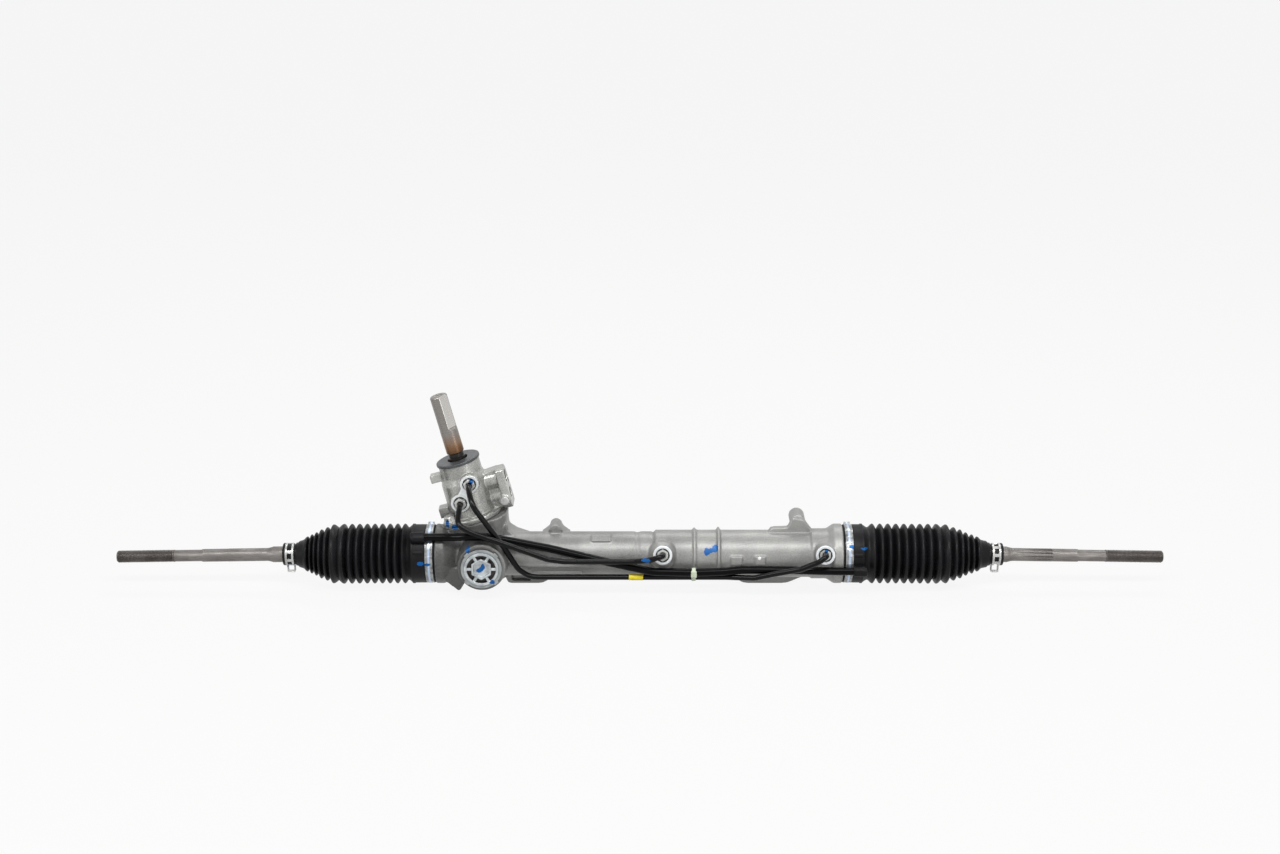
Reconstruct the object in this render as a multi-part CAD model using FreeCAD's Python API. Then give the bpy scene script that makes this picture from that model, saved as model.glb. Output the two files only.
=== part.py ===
# Hydraulic power steering rack for a passenger car, in millimetres.
# Modelled about the rack bar: X runs along the bar to the right, Y away from the front, Z up.
# The finished pieces are moved so that the origin is the centre of the two mounting bolt holes.
import FreeCAD, Part
import math
import os

from FreeCAD import Placement, Rotation, Vector

# Clearances
RUNNING_GAP = 0.03       # round parts that turn or slide in each other
SEAT_GAP = 0.02          # parts pushed together by hand
SOFT_GAP = 0.3           # rubber next to what it doesn't grip
LOOSE_GAP = 1.0          # cast walls round moving parts

# Rack bar, teeth and pinion
BAR_D = 25.0
BAR_R = BAR_D / 2
NORMAL_MODULE = 1.9
PRESSURE_ANGLE = math.radians(20.0)
PINION_TEETH = 8
PINION_LEAN = math.radians(15.0)      # pinion axis from vertical, top towards the left
TOOTH_LEAN = math.radians(11.5)       # rack teeth from vertical
PROFILE_SHIFT = 0.5
TOOTH_FLAT_DEPTH = 4.1                # bar surface to the tips of its teeth
FLANK_PLAY = 0.12
ROOT_FACTOR = 1.25
PINION_TIP_R = 10.9
FLANK_STEPS = 5
TOOTHED_LENGTH = 190.0
PINION_X = -177.0
HELIX = PINION_LEAN + TOOTH_LEAN
PITCH_R = PINION_TEETH * NORMAL_MODULE / 2 / math.cos(HELIX)
TIP_PLANE_Y = BAR_R - TOOTH_FLAT_DEPTH
DATUM_Y = TIP_PLANE_Y - NORMAL_MODULE
PINION_Y = DATUM_Y + PITCH_R + PROFILE_SHIFT * NORMAL_MODULE
TOOTH_PITCH_X = math.pi * NORMAL_MODULE / math.cos(TOOTH_LEAN)
PINION_ROOT_R = PITCH_R - (ROOT_FACTOR - PROFILE_SHIFT) * NORMAL_MODULE

# Travel and rod ends
HOUSING_CENTRE_X = -4.0
STOP_SPAN = 235.0                     # housing centre to each travel stop
HALF_TRAVEL = 74.0
SOCKET_BASE = 22.0                    # ball centre back to the face that meets the stop
BALL_X = STOP_SPAN + HALF_TRAVEL + SOCKET_BASE
BAR_END_X = BALL_X - SOCKET_BASE
LEFT_STOP_X = HOUSING_CENTRE_X - STOP_SPAN
RIGHT_STOP_X = HOUSING_CENTRE_X + STOP_SPAN

# Housing casting
LEFT_FLANGE_X = LEFT_STOP_X + 8.0     # faces that the boots meet
RIGHT_FLANGE_X = RIGHT_STOP_X - 2.0
FLANGE_R = 33.85
FLANGE_THICK = 9.5
SPIGOT_R = 30.5
SPIGOT_LENGTH = 17.0
SPIGOT_BORE_R = 23.0
TUBE_R = 25.05
TUBE_BORE_R = 19.0
RACK_BORE_R = BAR_R + LOOSE_GAP + 0.5
TUBE_BORE_START_X = -128.0
CYLINDER_X = 17.0                     # left end of the hydraulic cylinder
CYLINDER_R = 26.85
CYLINDER_BORE_R = 21.5
RIB_POSITIONS = [(61.5, 29.5), (88.8, 30.2)]
RIB_WIDTH = 3.0
TUBE_GROOVES = [(-5.7, 0.2), (13.0, 17.0)]   # shallow cast grooves, from and to
TUBE_GROOVE_DEPTH = 0.9
PAD_LIFT = 1.8                        # cast pads above the barrel
COLLAR_X = RIGHT_FLANGE_X - 36.7      # thicker end of the cylinder
COLLAR_R = 28.5
INNER_SEAL_WIDTH = 5.0
BUSH_X = RIGHT_STOP_X - 26.0
BUSH_SEAL_WIDTH = 6.0
BUSH_SEAL_DEPTH = 5.0
BUSH_RING_GROOVE = 2.0
BUSH_RING_ROOM = 3.0
BUSH_RING_FROM_FACE = 8.0
BUSH_RING_WIRE_R = 0.95
SNAP_RING_THICK = 2.0
SNAP_RING_X = RIGHT_STOP_X - 4.5
SNAP_RING_INNER_R = 19.0
SNAP_GROOVE_R = CYLINDER_BORE_R + 2.9
PISTON_X = 120.6
PISTON_WIDTH = 16.0
PISTON_RING_WIDTH = 5.0
PISTON_GROOVE_R = CYLINDER_BORE_R - 3.0
FLARE_LENGTH = 8.0
RIGHT_PORT_X = RIGHT_FLANGE_X - 21.0

# Mounting feet
FOOT_Z = -40.0
FOOT_BOLTS_X = (-125.4, 144.6)
FOOT_BOLT_Y = 38.0
FOOT_HOLE_R = 6.5
FOOT_BOSS_R = 17.0
FOOT_HEIGHT = 34.0
FOOT_FRONT_Y = 8.0

# Yoke and adjuster
YOKE_R = 17.0
YOKE_FRONT_Y = -5.0
YOKE_BACK_Y = -33.8
YOKE_BOSS_R = 27.0
YOKE_BOSS_Y = -46.0
LINER_THICK = 1.0
PLUG_R = 19.5
PLUG_HEX_FLATS = 21.6
PLUG_RECESS = 6.0
PLUG_BACK_Y = YOKE_BACK_Y - 0.15
LOCK_RING_R = 23.0
LOCK_RING_THICK = 4.0
YOKE_RING_WIRE_R = 1.1
YOKE_RING_GROOVE = 2.3
YOKE_RING_ROOM = 2.8
YOKE_RING_FROM_BACK = 7.0
SPRING_R = 6.5
SPRING_WIRE_R = 1.25
SPRING_TURNS = 4
SPRING_POCKET = 11.0

# Pinion stack, measured along the pinion axis from the rack axis level
PINION_GEAR_HALF = 16.0
PINION_JOURNAL_R = 10.0
LOWER_JOURNAL_R = 6.0
LOWER_BEARING_R = 14.0
LOWER_BEARING_TOP = -17.0
LOWER_BEARING_WIDTH = 8.0
PINION_NUT_THICK = 5.0
END_CAP_R = 17.0
END_CAP_THICK = 3.0
PINION_BOTTOM = -36.0
UPPER_BEARING_BOTTOM = 22.0
UPPER_BEARING_WIDTH = 11.0
UPPER_BEARING_R = 14.0
PINION_SEAL_BOTTOM = UPPER_BEARING_BOTTOM + UPPER_BEARING_WIDTH + 1.0
BEARING_BALLS = 8
BEARING_BALL_R = 2.2
BEARING_BALL_CIRCLE_R = (LOWER_JOURNAL_R + LOWER_BEARING_R) / 2
SPLIT_S = 41.0                        # parting face between the two castings
FLANGE_TOP = SPLIT_S + 7.0
BOLT_R = 4.0
BOLT_HEAD_FLATS = 12.0
BOLT_CIRCLE_R = 31.0
BOLT_TURN = math.radians(213.0)
VALVE_EAR_R = 9.0
VALVE_FLANGE_R = 31.5
VALVE_BORE_R = 20.0
VALVE_BORE_TOP = 97.0
VALVE_NECK_R = 23.5
VALVE_BODY_R = 26.0
VALVE_TOP = 111.0
INPUT_BEARING_R = 14.0
SEAL_BOTTOM = 103.0
INPUT_SEAL_R = 17.0
PASSAGE_PLUG_R = 4.6
SLEEVE_BOTTOM = 50.0
SLEEVE_TOP = 95.0
SLEEVE_R = 19.0
SLEEVE_RING_PLACES = (54.5, 67.0, 79.5, 92.0)
SLEEVE_RING_WIDTH = 2.4
PINION_HEAD_R = 17.0
ROTOR_R = 12.0
INPUT_SHAFT_R = 10.0
INPUT_SHAFT_TOP = 189.0
SHAFT_NECK = (115.0, 121.0)
SHAFT_NECK_R = 8.4
SHAFT_FLAT_DEPTH = 2.0
SHAFT_FLAT_BOTTOM = 151.0
SHAFT_FLAT_ANGLE = -45.0
SHAFT_CUTTER_R = 3.0                  # rounds the foot of the flat
SHAFT_LEAD_RELIEF = 0.2               # the flatted end is thinner, so that the column's yoke slides on
SHAFT_LEAD_STEP = 0.2
INPUT_SPIGOT_R = 6.5
SPIGOT_SOCKET_DEPTH = 6.0
TORSION_BAR_R = 2.6
TORSION_HEAD_R = 4.25
TORSION_FOOT_R = 3.5
TORSION_BAR_BOTTOM = 26.0
PIN_R = 1.45
PIN_FROM_TOP = 6.0
COVER_R = 25.0
COVER_HOLE_R = 11.5
COVER_THICK = 1.8
COVER_SKIRT = 1.6

# Pressure ports
PORT_ANGLE = math.radians(17.0)       # cylinder ports above the front
CYLINDER_PORTS = [(25.5, 15.7), (RIGHT_PORT_X, 13.5)]
PORT_FACE_R = 36.0
PORT_RING_R = 10.7
PORT_NUT_FLATS = 12.0
PORT_RECESS_R = 7.6
PORT_RECESS_DEPTH = 7.0
PORT_THREAD_R = 5.0
PORT_NOSE = 4.0
PORT_SEAT_R = CYLINDER_BORE_R + 1.5
PORT_SEAT_THICK = 1.8
PORT_SEAT_BORE_R = 1.6
PASSAGE_R = 2.2
VALVE_RECESS_DEPTH = 4.0
VALVE_PORTS = [(88.0, 9.0), (69.0, -7.0)]   # along and across the pinion axis
VALVE_PAD_V = -30.0
VALVE_PAD_R = 10.9
HOSE_FACE_U = 47.0
HOSE_PORTS = [(78.0, 8.0), (58.0, 6.5)]     # along the axis, bore radius
HOSE_BORE_DEPTH = 14.0
HOSE_SCREW_R = 4.0

# Pipes
PIPE_R = 3.175
BREATHER_R = 4.5
PIPE_BEND_R = 22.0
LONG_PIPE_YZ = (-30.5, -17.0)
SHORT_PIPE_YZ = (-40.0, 5.2)
CABLE_TIE_X = 60.3
CABLE_TIE_WIDTH = 4.6
BREATHER_AT_TIE = (-35.2, -9.9)
MARKER_X = -12.5
MARKER_LENGTH = 16.0

# Inner ball joints and tie rods
BALL_R = 13.0
RACE_R = 14.8
SOCKET_R = 18.5
SOCKET_STUD_R = 7.0
BAR_TAP_DEPTH = 20.0
SOCKET_LIP = 4.2
SOCKET_FLAT_DEPTH = 1.2
SOCKET_FLAT_LENGTH = 9.0
RACE_MOUTH = math.radians(52.0)
SOCKET_MOUTH = math.radians(57.0)
NECK_R = 6.0
ROD_DROOP = math.radians(0.9)
ROD_REACH = 263.6                     # ball centre to the free end
ROD_THREAD_LENGTH = 65.0
ROD_THREAD_R = 7.0
ROD_PLAIN_R = 6.6
ROD_MID_R = 7.4
ROD_COLLAR_R = 9.0
ROD_COLLAR = (54.0, 87.0)
ROD_FLATS = (138.0, 165.0)
ROD_FLATS_ACROSS = 12.6
ROD_PLAIN_START = 166.0

# Boots
BOOT_FOLD_R = 34.0
BOOT_ROOT_R = 27.75
BOOT_WALL = 1.6
BOOT_CUFF_R = 33.2
BOOT_SMALL_CUFF_R = 11.4
BOOT_EDGE = 0.6                       # flange face to the rubber
BAND_START = 2.0
BAND_WIDTH = 9.0
BAND_THICK = 1.2
BIG_FOLDS = 9
SMALL_FOLD_RADII = (33.5, 30.4, 27.9, 24.7, 22.3, 20.0)
SMALL_CUFF_LENGTH = 16.0
BOOT_SIDES = {
    -1: {"cuff": 27.3, "first_peak": 35.7, "pitch": 8.66, "small_cuff": 158.2,
         "small_pitches": (12.2, 7.1, 6.9, 5.7, 5.2, 4.9)},
    1: {"cuff": 23.6, "first_peak": 34.5, "pitch": 9.13, "small_cuff": 167.0,
        "small_pitches": (11.0, 8.9, 7.4, 6.5, 6.9, 5.9)},
}
BREATHER_ANGLES = {-1: math.radians(48.5), 1: math.radians(-10.6)}   # above the front
BREATHER_CLEAR_R = FLANGE_R + BREATHER_R + 0.4
ELBOW_LENGTH = 16.0
CLIP_WIDTH = 9.0
CLIP_TAB = 7.0


# Basic shapes

def rounded_edges(points, radii, closed):
    """Straight edges joined by tangent arcs of the given radii, one radius per point."""
    count = len(points)
    starts, ends, edges = [], [], []
    for i, point in enumerate(points):
        radius = radii[i]
        if radius <= 0 or (not closed and i in (0, count - 1)):
            starts.append(point)
            ends.append(point)
            edges.append(None)
            continue
        back = (points[i - 1] - point).normalize()
        ahead = (points[(i + 1) % count] - point).normalize()
        half = back.getAngle(ahead) / 2
        setback = radius / math.tan(half)
        middle = (back + ahead).normalize() * (radius / math.sin(half) - radius)
        starts.append(point + back * setback)
        ends.append(point + ahead * setback)
        edges.append(Part.Arc(starts[i], point + middle, ends[i]).toShape())
    result = []
    for i in range(count):
        if edges[i] is not None:
            result.append(edges[i])
        if i < count - 1 or closed:
            following = starts[(i + 1) % count]
            if (following - ends[i]).Length > 1e-6:
                result.append(Part.makeLine(ends[i], following))
    return result


def outline(corners):
    """Closed wire in the XY plane through (x, y) or (x, y, corner radius)."""
    points = [Vector(c[0], c[1], 0) for c in corners]
    radii = [c[2] if len(c) > 2 else 0.0 for c in corners]
    return Part.Wire(rounded_edges(points, radii, True))


def turned(corners):
    """Solid of revolution about the local Z axis from (height, radius) corners."""
    wire = outline([(c[1], c[0]) + tuple(c[2:]) for c in corners])
    upright = Placement(Vector(), Rotation(Vector(1, 0, 0), 90))
    face = Part.Face(wire)
    face.Placement = upright
    return face.revolve(Vector(), Vector(0, 0, 1), 360)


def turned_x(corners):
    """Solid of revolution about the X axis from (x, radius) corners."""
    return at(turned(corners), Vector(), Rotation(Vector(0, 1, 0), 90))


def tube(start, end, inner, outer):
    return turned([(start, inner), (end, inner), (end, outer), (start, outer)])


def tube_x(start, end, inner, outer):
    return turned_x([(start, inner), (end, inner), (end, outer), (start, outer)])


def circle_point(radius, angle):
    """Point on a circle round the origin, with the angle measured from +X."""
    return Vector(radius * math.cos(angle), radius * math.sin(angle), 0)


def circle_arc(radius, start, end):
    middle = circle_point(radius, (start + end) / 2)
    return Part.Arc(circle_point(radius, start), middle, circle_point(radius, end)).toShape()


def revolved_x(edges):
    """Solid of revolution about the X axis from edges drawn above it in the XY plane."""
    return Part.Face(Part.Wire(edges)).revolve(Vector(), Vector(1, 0, 0), 360)


def rod(base, direction, length, radius):
    return Part.makeCylinder(radius, length, base, direction)


def rod_x(start, end, radius):
    return rod(Vector(start, 0, 0), Vector(1, 0, 0), end - start, radius)


def box(low, high):
    size = [high[i] - low[i] for i in range(3)]
    return Part.makeBox(size[0], size[1], size[2], Vector(*low))


def plate(corners, thickness):
    return Part.Face(outline(corners)).extrude(Vector(0, 0, thickness))


def hexagon(flats):
    radius = flats / math.sqrt(3)
    return [(radius * math.cos(math.pi / 3 * i), radius * math.sin(math.pi / 3 * i)) for i in range(6)]


def at(shape, position, rotation=Rotation()):
    moved = shape.copy()
    moved.Placement = Placement(position, rotation).multiply(moved.Placement)
    return moved


def fuse(shapes):
    return shapes[0].fuse(shapes[1:]).removeSplitter()


def compound(shapes):
    return Part.makeCompound(shapes)


def towards(direction):
    """Turns local Z onto a direction."""
    return Rotation(Vector(0, 0, 1), direction)


def on_pinion(shape):
    """Places a shape drawn in (across, front to back, along) pinion coordinates."""
    return at(shape, Vector(PINION_X, PINION_Y, 0), Rotation(Vector(0, 1, 0), -math.degrees(PINION_LEAN)))


def pinion_point(along, across=0.0, front=0.0):
    x = PINION_X - along * math.sin(PINION_LEAN) + across * math.cos(PINION_LEAN)
    z = along * math.cos(PINION_LEAN) + across * math.sin(PINION_LEAN)
    return Vector(x, PINION_Y + front, z)


def on_side(shape, side, x, droop=0.0):
    """Places a shape drawn outward along +X at a distance from the bar centre; side is -1 or 1."""
    turn = Rotation(Vector(0, 0, 1), 0 if side > 0 else 180)
    tilt = Rotation(Vector(0, 1, 0), math.degrees(droop) * side)
    return at(shape, Vector(side * x, 0, 0), tilt.multiply(turn))


def bent_tube(points, radius, bend):
    """Round tube along straight runs with tangent bends, as large as the runs allow."""
    radii = [0.0]
    for i in range(1, len(points) - 1):
        back = points[i - 1] - points[i]
        ahead = points[i + 1] - points[i]
        turn = math.pi - back.getAngle(ahead)
        room = 0.45 * min(back.Length, ahead.Length) / math.tan(turn / 2)
        radii.append(min(bend, room))
    radii.append(0.0)
    path = Part.Wire(rounded_edges(points, radii, False))
    section = Part.Wire(Part.makeCircle(radius, points[0], points[1] - points[0]))
    return path.makePipeShell([section], True, False)


# Rack housing

def housing_barrel():
    """Turned outside of the rack tube, hydraulic cylinder, flanges and boot spigots."""
    cone_end = LEFT_FLANGE_X + FLANGE_THICK + 14
    flare_x = RIGHT_FLANGE_X - FLANGE_THICK
    outside = [
        (LEFT_FLANGE_X - SPIGOT_LENGTH, 0), (LEFT_FLANGE_X - SPIGOT_LENGTH, SPIGOT_R, 1.5),
        (LEFT_FLANGE_X, SPIGOT_R), (LEFT_FLANGE_X, FLANGE_R, 1.0),
        (LEFT_FLANGE_X + FLANGE_THICK, FLANGE_R, 2.0), (cone_end, TUBE_R, 4.0),
    ] + tube_grooves() + [
        (CYLINDER_X, CYLINDER_R, 1.0), (COLLAR_X, CYLINDER_R), (COLLAR_X + 2, COLLAR_R, 1.5),
        (flare_x - FLARE_LENGTH, COLLAR_R, 4.0), (flare_x, FLANGE_R, 2.0),
        (RIGHT_FLANGE_X, FLANGE_R, 1.0), (RIGHT_FLANGE_X, SPIGOT_R),
        (RIGHT_FLANGE_X + SPIGOT_LENGTH, SPIGOT_R, 1.5), (RIGHT_FLANGE_X + SPIGOT_LENGTH, 0),
    ]
    ribs = []
    for x, radius in RIB_POSITIONS:
        low, high = x - RIB_WIDTH / 2, x + RIB_WIDTH / 2
        corner = RIB_WIDTH * 0.45
        ribs.append(turned_x([(low, TUBE_BORE_R), (low, radius, corner), (high, radius, corner),
                              (high, TUBE_BORE_R)]))
    return [turned_x(outside)] + ribs


def tube_grooves():
    """Outside of the rack tube up to the cylinder, as (x, radius) corners."""
    corners = []
    low_r = TUBE_R - TUBE_GROOVE_DEPTH
    for start, end in TUBE_GROOVES:
        corners += [(start, TUBE_R), (start + 1.0, low_r), (end - 1.0, low_r)]
        if end < CYLINDER_X:
            corners.append((end, TUBE_R))
    return corners


def housing_tower():
    """Upright casting round the pinion, the yoke boss in front and the bottom bearing pot."""
    left, right = PINION_X - 39, PINION_X + 27
    front, back = PINION_Y - 31, PINION_Y + 30
    post = plate([(left, front, 22), (right, front, 20), (right, back, 24), (left, back, 24)], 90)
    above = on_pinion(box((-80, -80, SPLIT_S), (80, 80, SPLIT_S + 90)))
    post = post.cut(above)
    yoke_boss = turned([(0, 0), (0, YOKE_BOSS_R + 3), (-YOKE_BOSS_Y - 14, YOKE_BOSS_R + 1, 3),
                        (-YOKE_BOSS_Y, YOKE_BOSS_R, 1.5), (-YOKE_BOSS_Y, 0)])
    yoke_boss = at(yoke_boss, Vector(PINION_X, 0, 0), towards(Vector(0, -1, 0)))
    pot = on_pinion(turned([(PINION_BOTTOM, 0), (PINION_BOTTOM, END_CAP_R + 3, 1.5),
                            (10, END_CAP_R + 5), (10, 0)]))
    ears = []
    for across, front in valve_bolt_places():
        ear = turned([(SPLIT_S - 14, 0), (SPLIT_S - 14, 7.0, 2.0), (SPLIT_S, VALVE_EAR_R), (SPLIT_S, 0)])
        ears.append(on_pinion(at(ear, Vector(across, front, 0))))
    return [post, yoke_boss, pot] + ears


def valve_bolt_places():
    """Flange bolts, as (across, front to back) in pinion coordinates."""
    across, front = BOLT_CIRCLE_R * math.cos(BOLT_TURN), BOLT_CIRCLE_R * math.sin(BOLT_TURN)
    return [(side * across, side * front) for side in (1, -1)]


def housing_ribs():
    """Stiffening ribs and webs that tie the tower and yoke boss to the barrel."""
    left = LEFT_FLANGE_X + FLANGE_THICK
    chin = plate([(left, -8), (left, -22), (PINION_X - 27, -36, 2), (PINION_X - 21, -26),
                  (PINION_X - 12, -8)], 7)
    chin = at(chin, Vector(0, -20, 0), Rotation(Vector(1, 0, 0), 90))
    shoulder = plate([(PINION_X, 0), (PINION_X + 27, 40), (PINION_X + 28, 30, 6),
                      (PINION_X + 37, TUBE_R - 1, 8), (PINION_X + 54, 18), (PINION_X + 54, 0)], 30)
    shoulder = at(shoulder, Vector(0, 22, 0), Rotation(Vector(1, 0, 0), 90))
    ridge = box((PINION_X + 26, -TUBE_R - 1.2, -7.5), (CYLINDER_X - 22, -TUBE_R + 6, -4.5))
    strip = box((PINION_X + 56, -21.5, -18.0), (PINION_X + 112, -15, -13.0))
    return [chin, shoulder, ridge, strip]


def housing_feet():
    """Two mounting feet behind the barrel, each a bolt boss and a tapered web."""
    feet = []
    webs = [
        [(-157, -12), (-157, -26), (-151, FOOT_Z, 4), (-112, FOOT_Z, 12), (-90, -28, 6), (-84, -12)],
        [(92, -12), (98, -26, 8), (118, FOOT_Z, 16), (168, FOOT_Z, 22), (202, -25, 8), (204, -12)],
    ]
    for bolt_x, web in zip(FOOT_BOLTS_X, webs):
        depth = FOOT_BOLT_Y - FOOT_FRONT_Y
        wall = at(plate(web, depth), Vector(0, FOOT_BOLT_Y, 0), Rotation(Vector(1, 0, 0), 90))
        top_r = FOOT_BOSS_R - 1.5
        boss = turned([(0, 0), (0, FOOT_BOSS_R, 1.5), (FOOT_HEIGHT, top_r, 1.5), (FOOT_HEIGHT, 0)])
        feet.append(wall)
        feet.append(at(boss, Vector(bolt_x, FOOT_BOLT_Y, FOOT_Z)))
        neck = box((bolt_x - 13, 10, FOOT_Z + 10), (bolt_x + 13, FOOT_BOLT_Y, FOOT_Z + FOOT_HEIGHT - 4))
        feet.append(neck)
    return feet


def housing_bosses():
    """Small round bosses on top of the barrel and the flat pads cast on its front."""
    left = rod(Vector(-95.6, -3.5, 29), Vector(0, 1, 0), 24, 6.7)
    left_web = plate([(-112, 20), (-104, 26, 6), (-100, 32), (-91, 32), (-87, 26, 6), (-79, 20)], 20)
    left_web = at(left_web, Vector(0, 22, 0), Rotation(Vector(1, 0, 0), 90))
    right = rod(Vector(178.7, 2, 36.6), Vector(0, 1, 0), 26, 8.9)
    right_web = plate([(140, 18), (148, 31.5, 2), (167, 32.5), (173, 44), (185, 42, 5), (197, 26, 10),
                       (204, 18)], 9)
    right_web = at(right_web, Vector(0, 4, 0), Rotation(Vector(1, 0, 0), 90))
    back_web = box((172, 3, 18), (185, 24, 34))
    top_pad = box((-54.6, -4.8, 18), (-33.0, 4.8, TUBE_R + PAD_LIFT))
    top_pad = at(top_pad, Vector(), Rotation(Vector(1, 0, 0), 28))
    pads = [box((102.4, -CYLINDER_R - PAD_LIFT, -4.5), (115.0, -15, 6.5)),
            box((129.7, -CYLINDER_R - PAD_LIFT, -4.5), (141.1, -15, 6.5))]
    discs = [at_front(x, -8.5, radius) for x, radius in [(101.3, 4.5), (181.0, 4.5), (-125.2, 3.4)]]
    return [left, left_web, right, right_web, back_web, top_pad] + pads + discs


def at_front(x, z, radius):
    reach = (TUBE_R if x < CYLINDER_X else CYLINDER_R) + PAD_LIFT / 2
    return rod(Vector(x, -15, z), Vector(0, -1, 0), reach - 15 - 0.12 * abs(z), radius)


def port_direction():
    return Vector(0, -math.cos(PORT_ANGLE), math.sin(PORT_ANGLE))


def housing_ports():
    bosses = []
    for x, base in CYLINDER_PORTS:
        shape = turned([(10, 0), (10, base + 1), (PORT_FACE_R - 9, base, 4),
                        (PORT_FACE_R - 2.5, PORT_RING_R + 0.6, 2), (PORT_FACE_R, PORT_RING_R, 0.6),
                        (PORT_FACE_R, 0)])
        bosses.append(at(shape, Vector(x, 0, 0), towards(port_direction())))
    return bosses


def housing_hollow():
    """Everything bored or cored out of the housing."""
    end_left = LEFT_FLANGE_X - SPIGOT_LENGTH
    end_right = RIGHT_FLANGE_X + SPIGOT_LENGTH
    bore = turned_x([
        (end_left - 1, 0), (end_left - 1, SPIGOT_BORE_R), (LEFT_STOP_X, SPIGOT_BORE_R),
        (LEFT_STOP_X, RACK_BORE_R), (TUBE_BORE_START_X, RACK_BORE_R), (TUBE_BORE_START_X + 4, TUBE_BORE_R),
        (CYLINDER_X, TUBE_BORE_R), (CYLINDER_X, CYLINDER_BORE_R), (SNAP_RING_X, CYLINDER_BORE_R),
        (SNAP_RING_X, SNAP_GROOVE_R), (SNAP_RING_X + SNAP_RING_THICK + SEAT_GAP, SNAP_GROOVE_R),
        (SNAP_RING_X + SNAP_RING_THICK + SEAT_GAP, SPIGOT_BORE_R), (end_right + 1, SPIGOT_BORE_R),
        (end_right + 1, 0),
    ])
    pinion_bore = on_pinion(turned([
        (PINION_BOTTOM - 1, 0), (PINION_BOTTOM - 1, END_CAP_R), (PINION_BOTTOM + END_CAP_THICK, END_CAP_R),
        (PINION_BOTTOM + END_CAP_THICK, LOWER_BEARING_R), (LOWER_BEARING_TOP, LOWER_BEARING_R),
        (LOWER_BEARING_TOP, PINION_TIP_R + LOOSE_GAP), (UPPER_BEARING_BOTTOM, PINION_TIP_R + LOOSE_GAP),
        (UPPER_BEARING_BOTTOM, UPPER_BEARING_R), (SPLIT_S + 1, UPPER_BEARING_R), (SPLIT_S + 1, 0),
    ]))
    yoke_bore = rod(Vector(PINION_X, 0, 0), Vector(0, -1, 0), -YOKE_BOSS_Y + 1, YOKE_R)
    plug_bore = rod(Vector(PINION_X, YOKE_BACK_Y, 0), Vector(0, -1, 0), YOKE_BACK_Y - YOKE_BOSS_Y + 1, PLUG_R)
    holes = [bore, pinion_bore, yoke_bore, plug_bore]
    for bolt_x in FOOT_BOLTS_X:
        foot = Vector(bolt_x, FOOT_BOLT_Y, FOOT_Z - 1)
        holes.append(rod(foot, Vector(0, 0, 1), FOOT_HEIGHT + 2, FOOT_HOLE_R))
    for x, base in CYLINDER_PORTS:
        port = turned([(15, 0), (15, PASSAGE_R), (PORT_SEAT_R, PASSAGE_R), (PORT_SEAT_R, PORT_THREAD_R),
                       (PORT_FACE_R - PORT_RECESS_DEPTH, PORT_THREAD_R),
                       (PORT_FACE_R - PORT_RECESS_DEPTH, PORT_RECESS_R), (PORT_FACE_R + 1, PORT_RECESS_R),
                       (PORT_FACE_R + 1, 0)])
        holes.append(at(port, Vector(x, 0, 0), towards(port_direction())))
    faced_r = BOLT_CIRCLE_R + VALVE_EAR_R + 0.5
    holes.append(on_pinion(rod(Vector(0, 0, SPLIT_S), Vector(0, 0, 1), FLANGE_TOP - SPLIT_S + 2, faced_r)))
    for across, front in valve_bolt_places():
        holes.append(on_pinion(rod(Vector(across, front, SPLIT_S - 20), Vector(0, 0, 1), 21, BOLT_R)))
    pocket = box((-147.0, FOOT_FRONT_Y - 4, -36.5), (-125.0, FOOT_FRONT_Y + 6, -27))
    holes.append(pocket)
    return holes


def make_rack_housing():
    solid = fuse(housing_barrel() + housing_tower() + housing_ribs() + housing_feet()
                 + housing_bosses() + housing_ports())
    return solid.cut(housing_hollow())


# Valve housing

def valve_housing_body():
    flange = turned([(SPLIT_S, 0), (SPLIT_S, VALVE_FLANGE_R, 1), (FLANGE_TOP - 1, VALVE_FLANGE_R, 2),
                     (FLANGE_TOP, VALVE_BODY_R + 1), (FLANGE_TOP, 0)])
    body = turned([(SPLIT_S, 0), (SPLIT_S, VALVE_BODY_R + 1), (VALVE_TOP - 24, VALVE_BODY_R, 3),
                   (VALVE_TOP - 16, VALVE_NECK_R, 4), (VALVE_TOP, VALVE_NECK_R), (VALVE_TOP, 0)])
    ears = []
    for across, front in valve_bolt_places():
        ears.append(at(turned([(SPLIT_S, 0), (SPLIT_S, VALVE_EAR_R), (FLANGE_TOP, 8.5, 1.0),
                               (FLANGE_TOP, 0)]), Vector(across, front, 0)))
    upper_tab = box((-36, -6, 92), (-18, 6, 101))
    lower_tab = box((-37, -8, 50), (-18, 6, 62))
    return [flange, body, upper_tab, lower_tab] + ears


def valve_port_pad():
    """Dumbbell pad on the front for the two pipe nuts, drawn as two discs and their waist."""
    upper, lower = [Vector(across, 0, along) for along, across in VALVE_PORTS]
    discs = []
    for place in (upper, lower):
        discs.append(rod(Vector(place.x, -8, place.z), Vector(0, -1, 0), -VALVE_PAD_V - 8, VALVE_PAD_R))
    line = (lower - upper).normalize()
    side = Vector(line.z, 0, -line.x) * (VALVE_PAD_R * 0.62)
    corners = (upper + side, lower + side, lower - side, upper - side, upper + side)
    waist = Part.Face(Part.makePolygon([corner + Vector(0, -8, 0) for corner in corners]))
    return discs + [waist.extrude(Vector(0, VALVE_PAD_V + 8, 0))]


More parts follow.
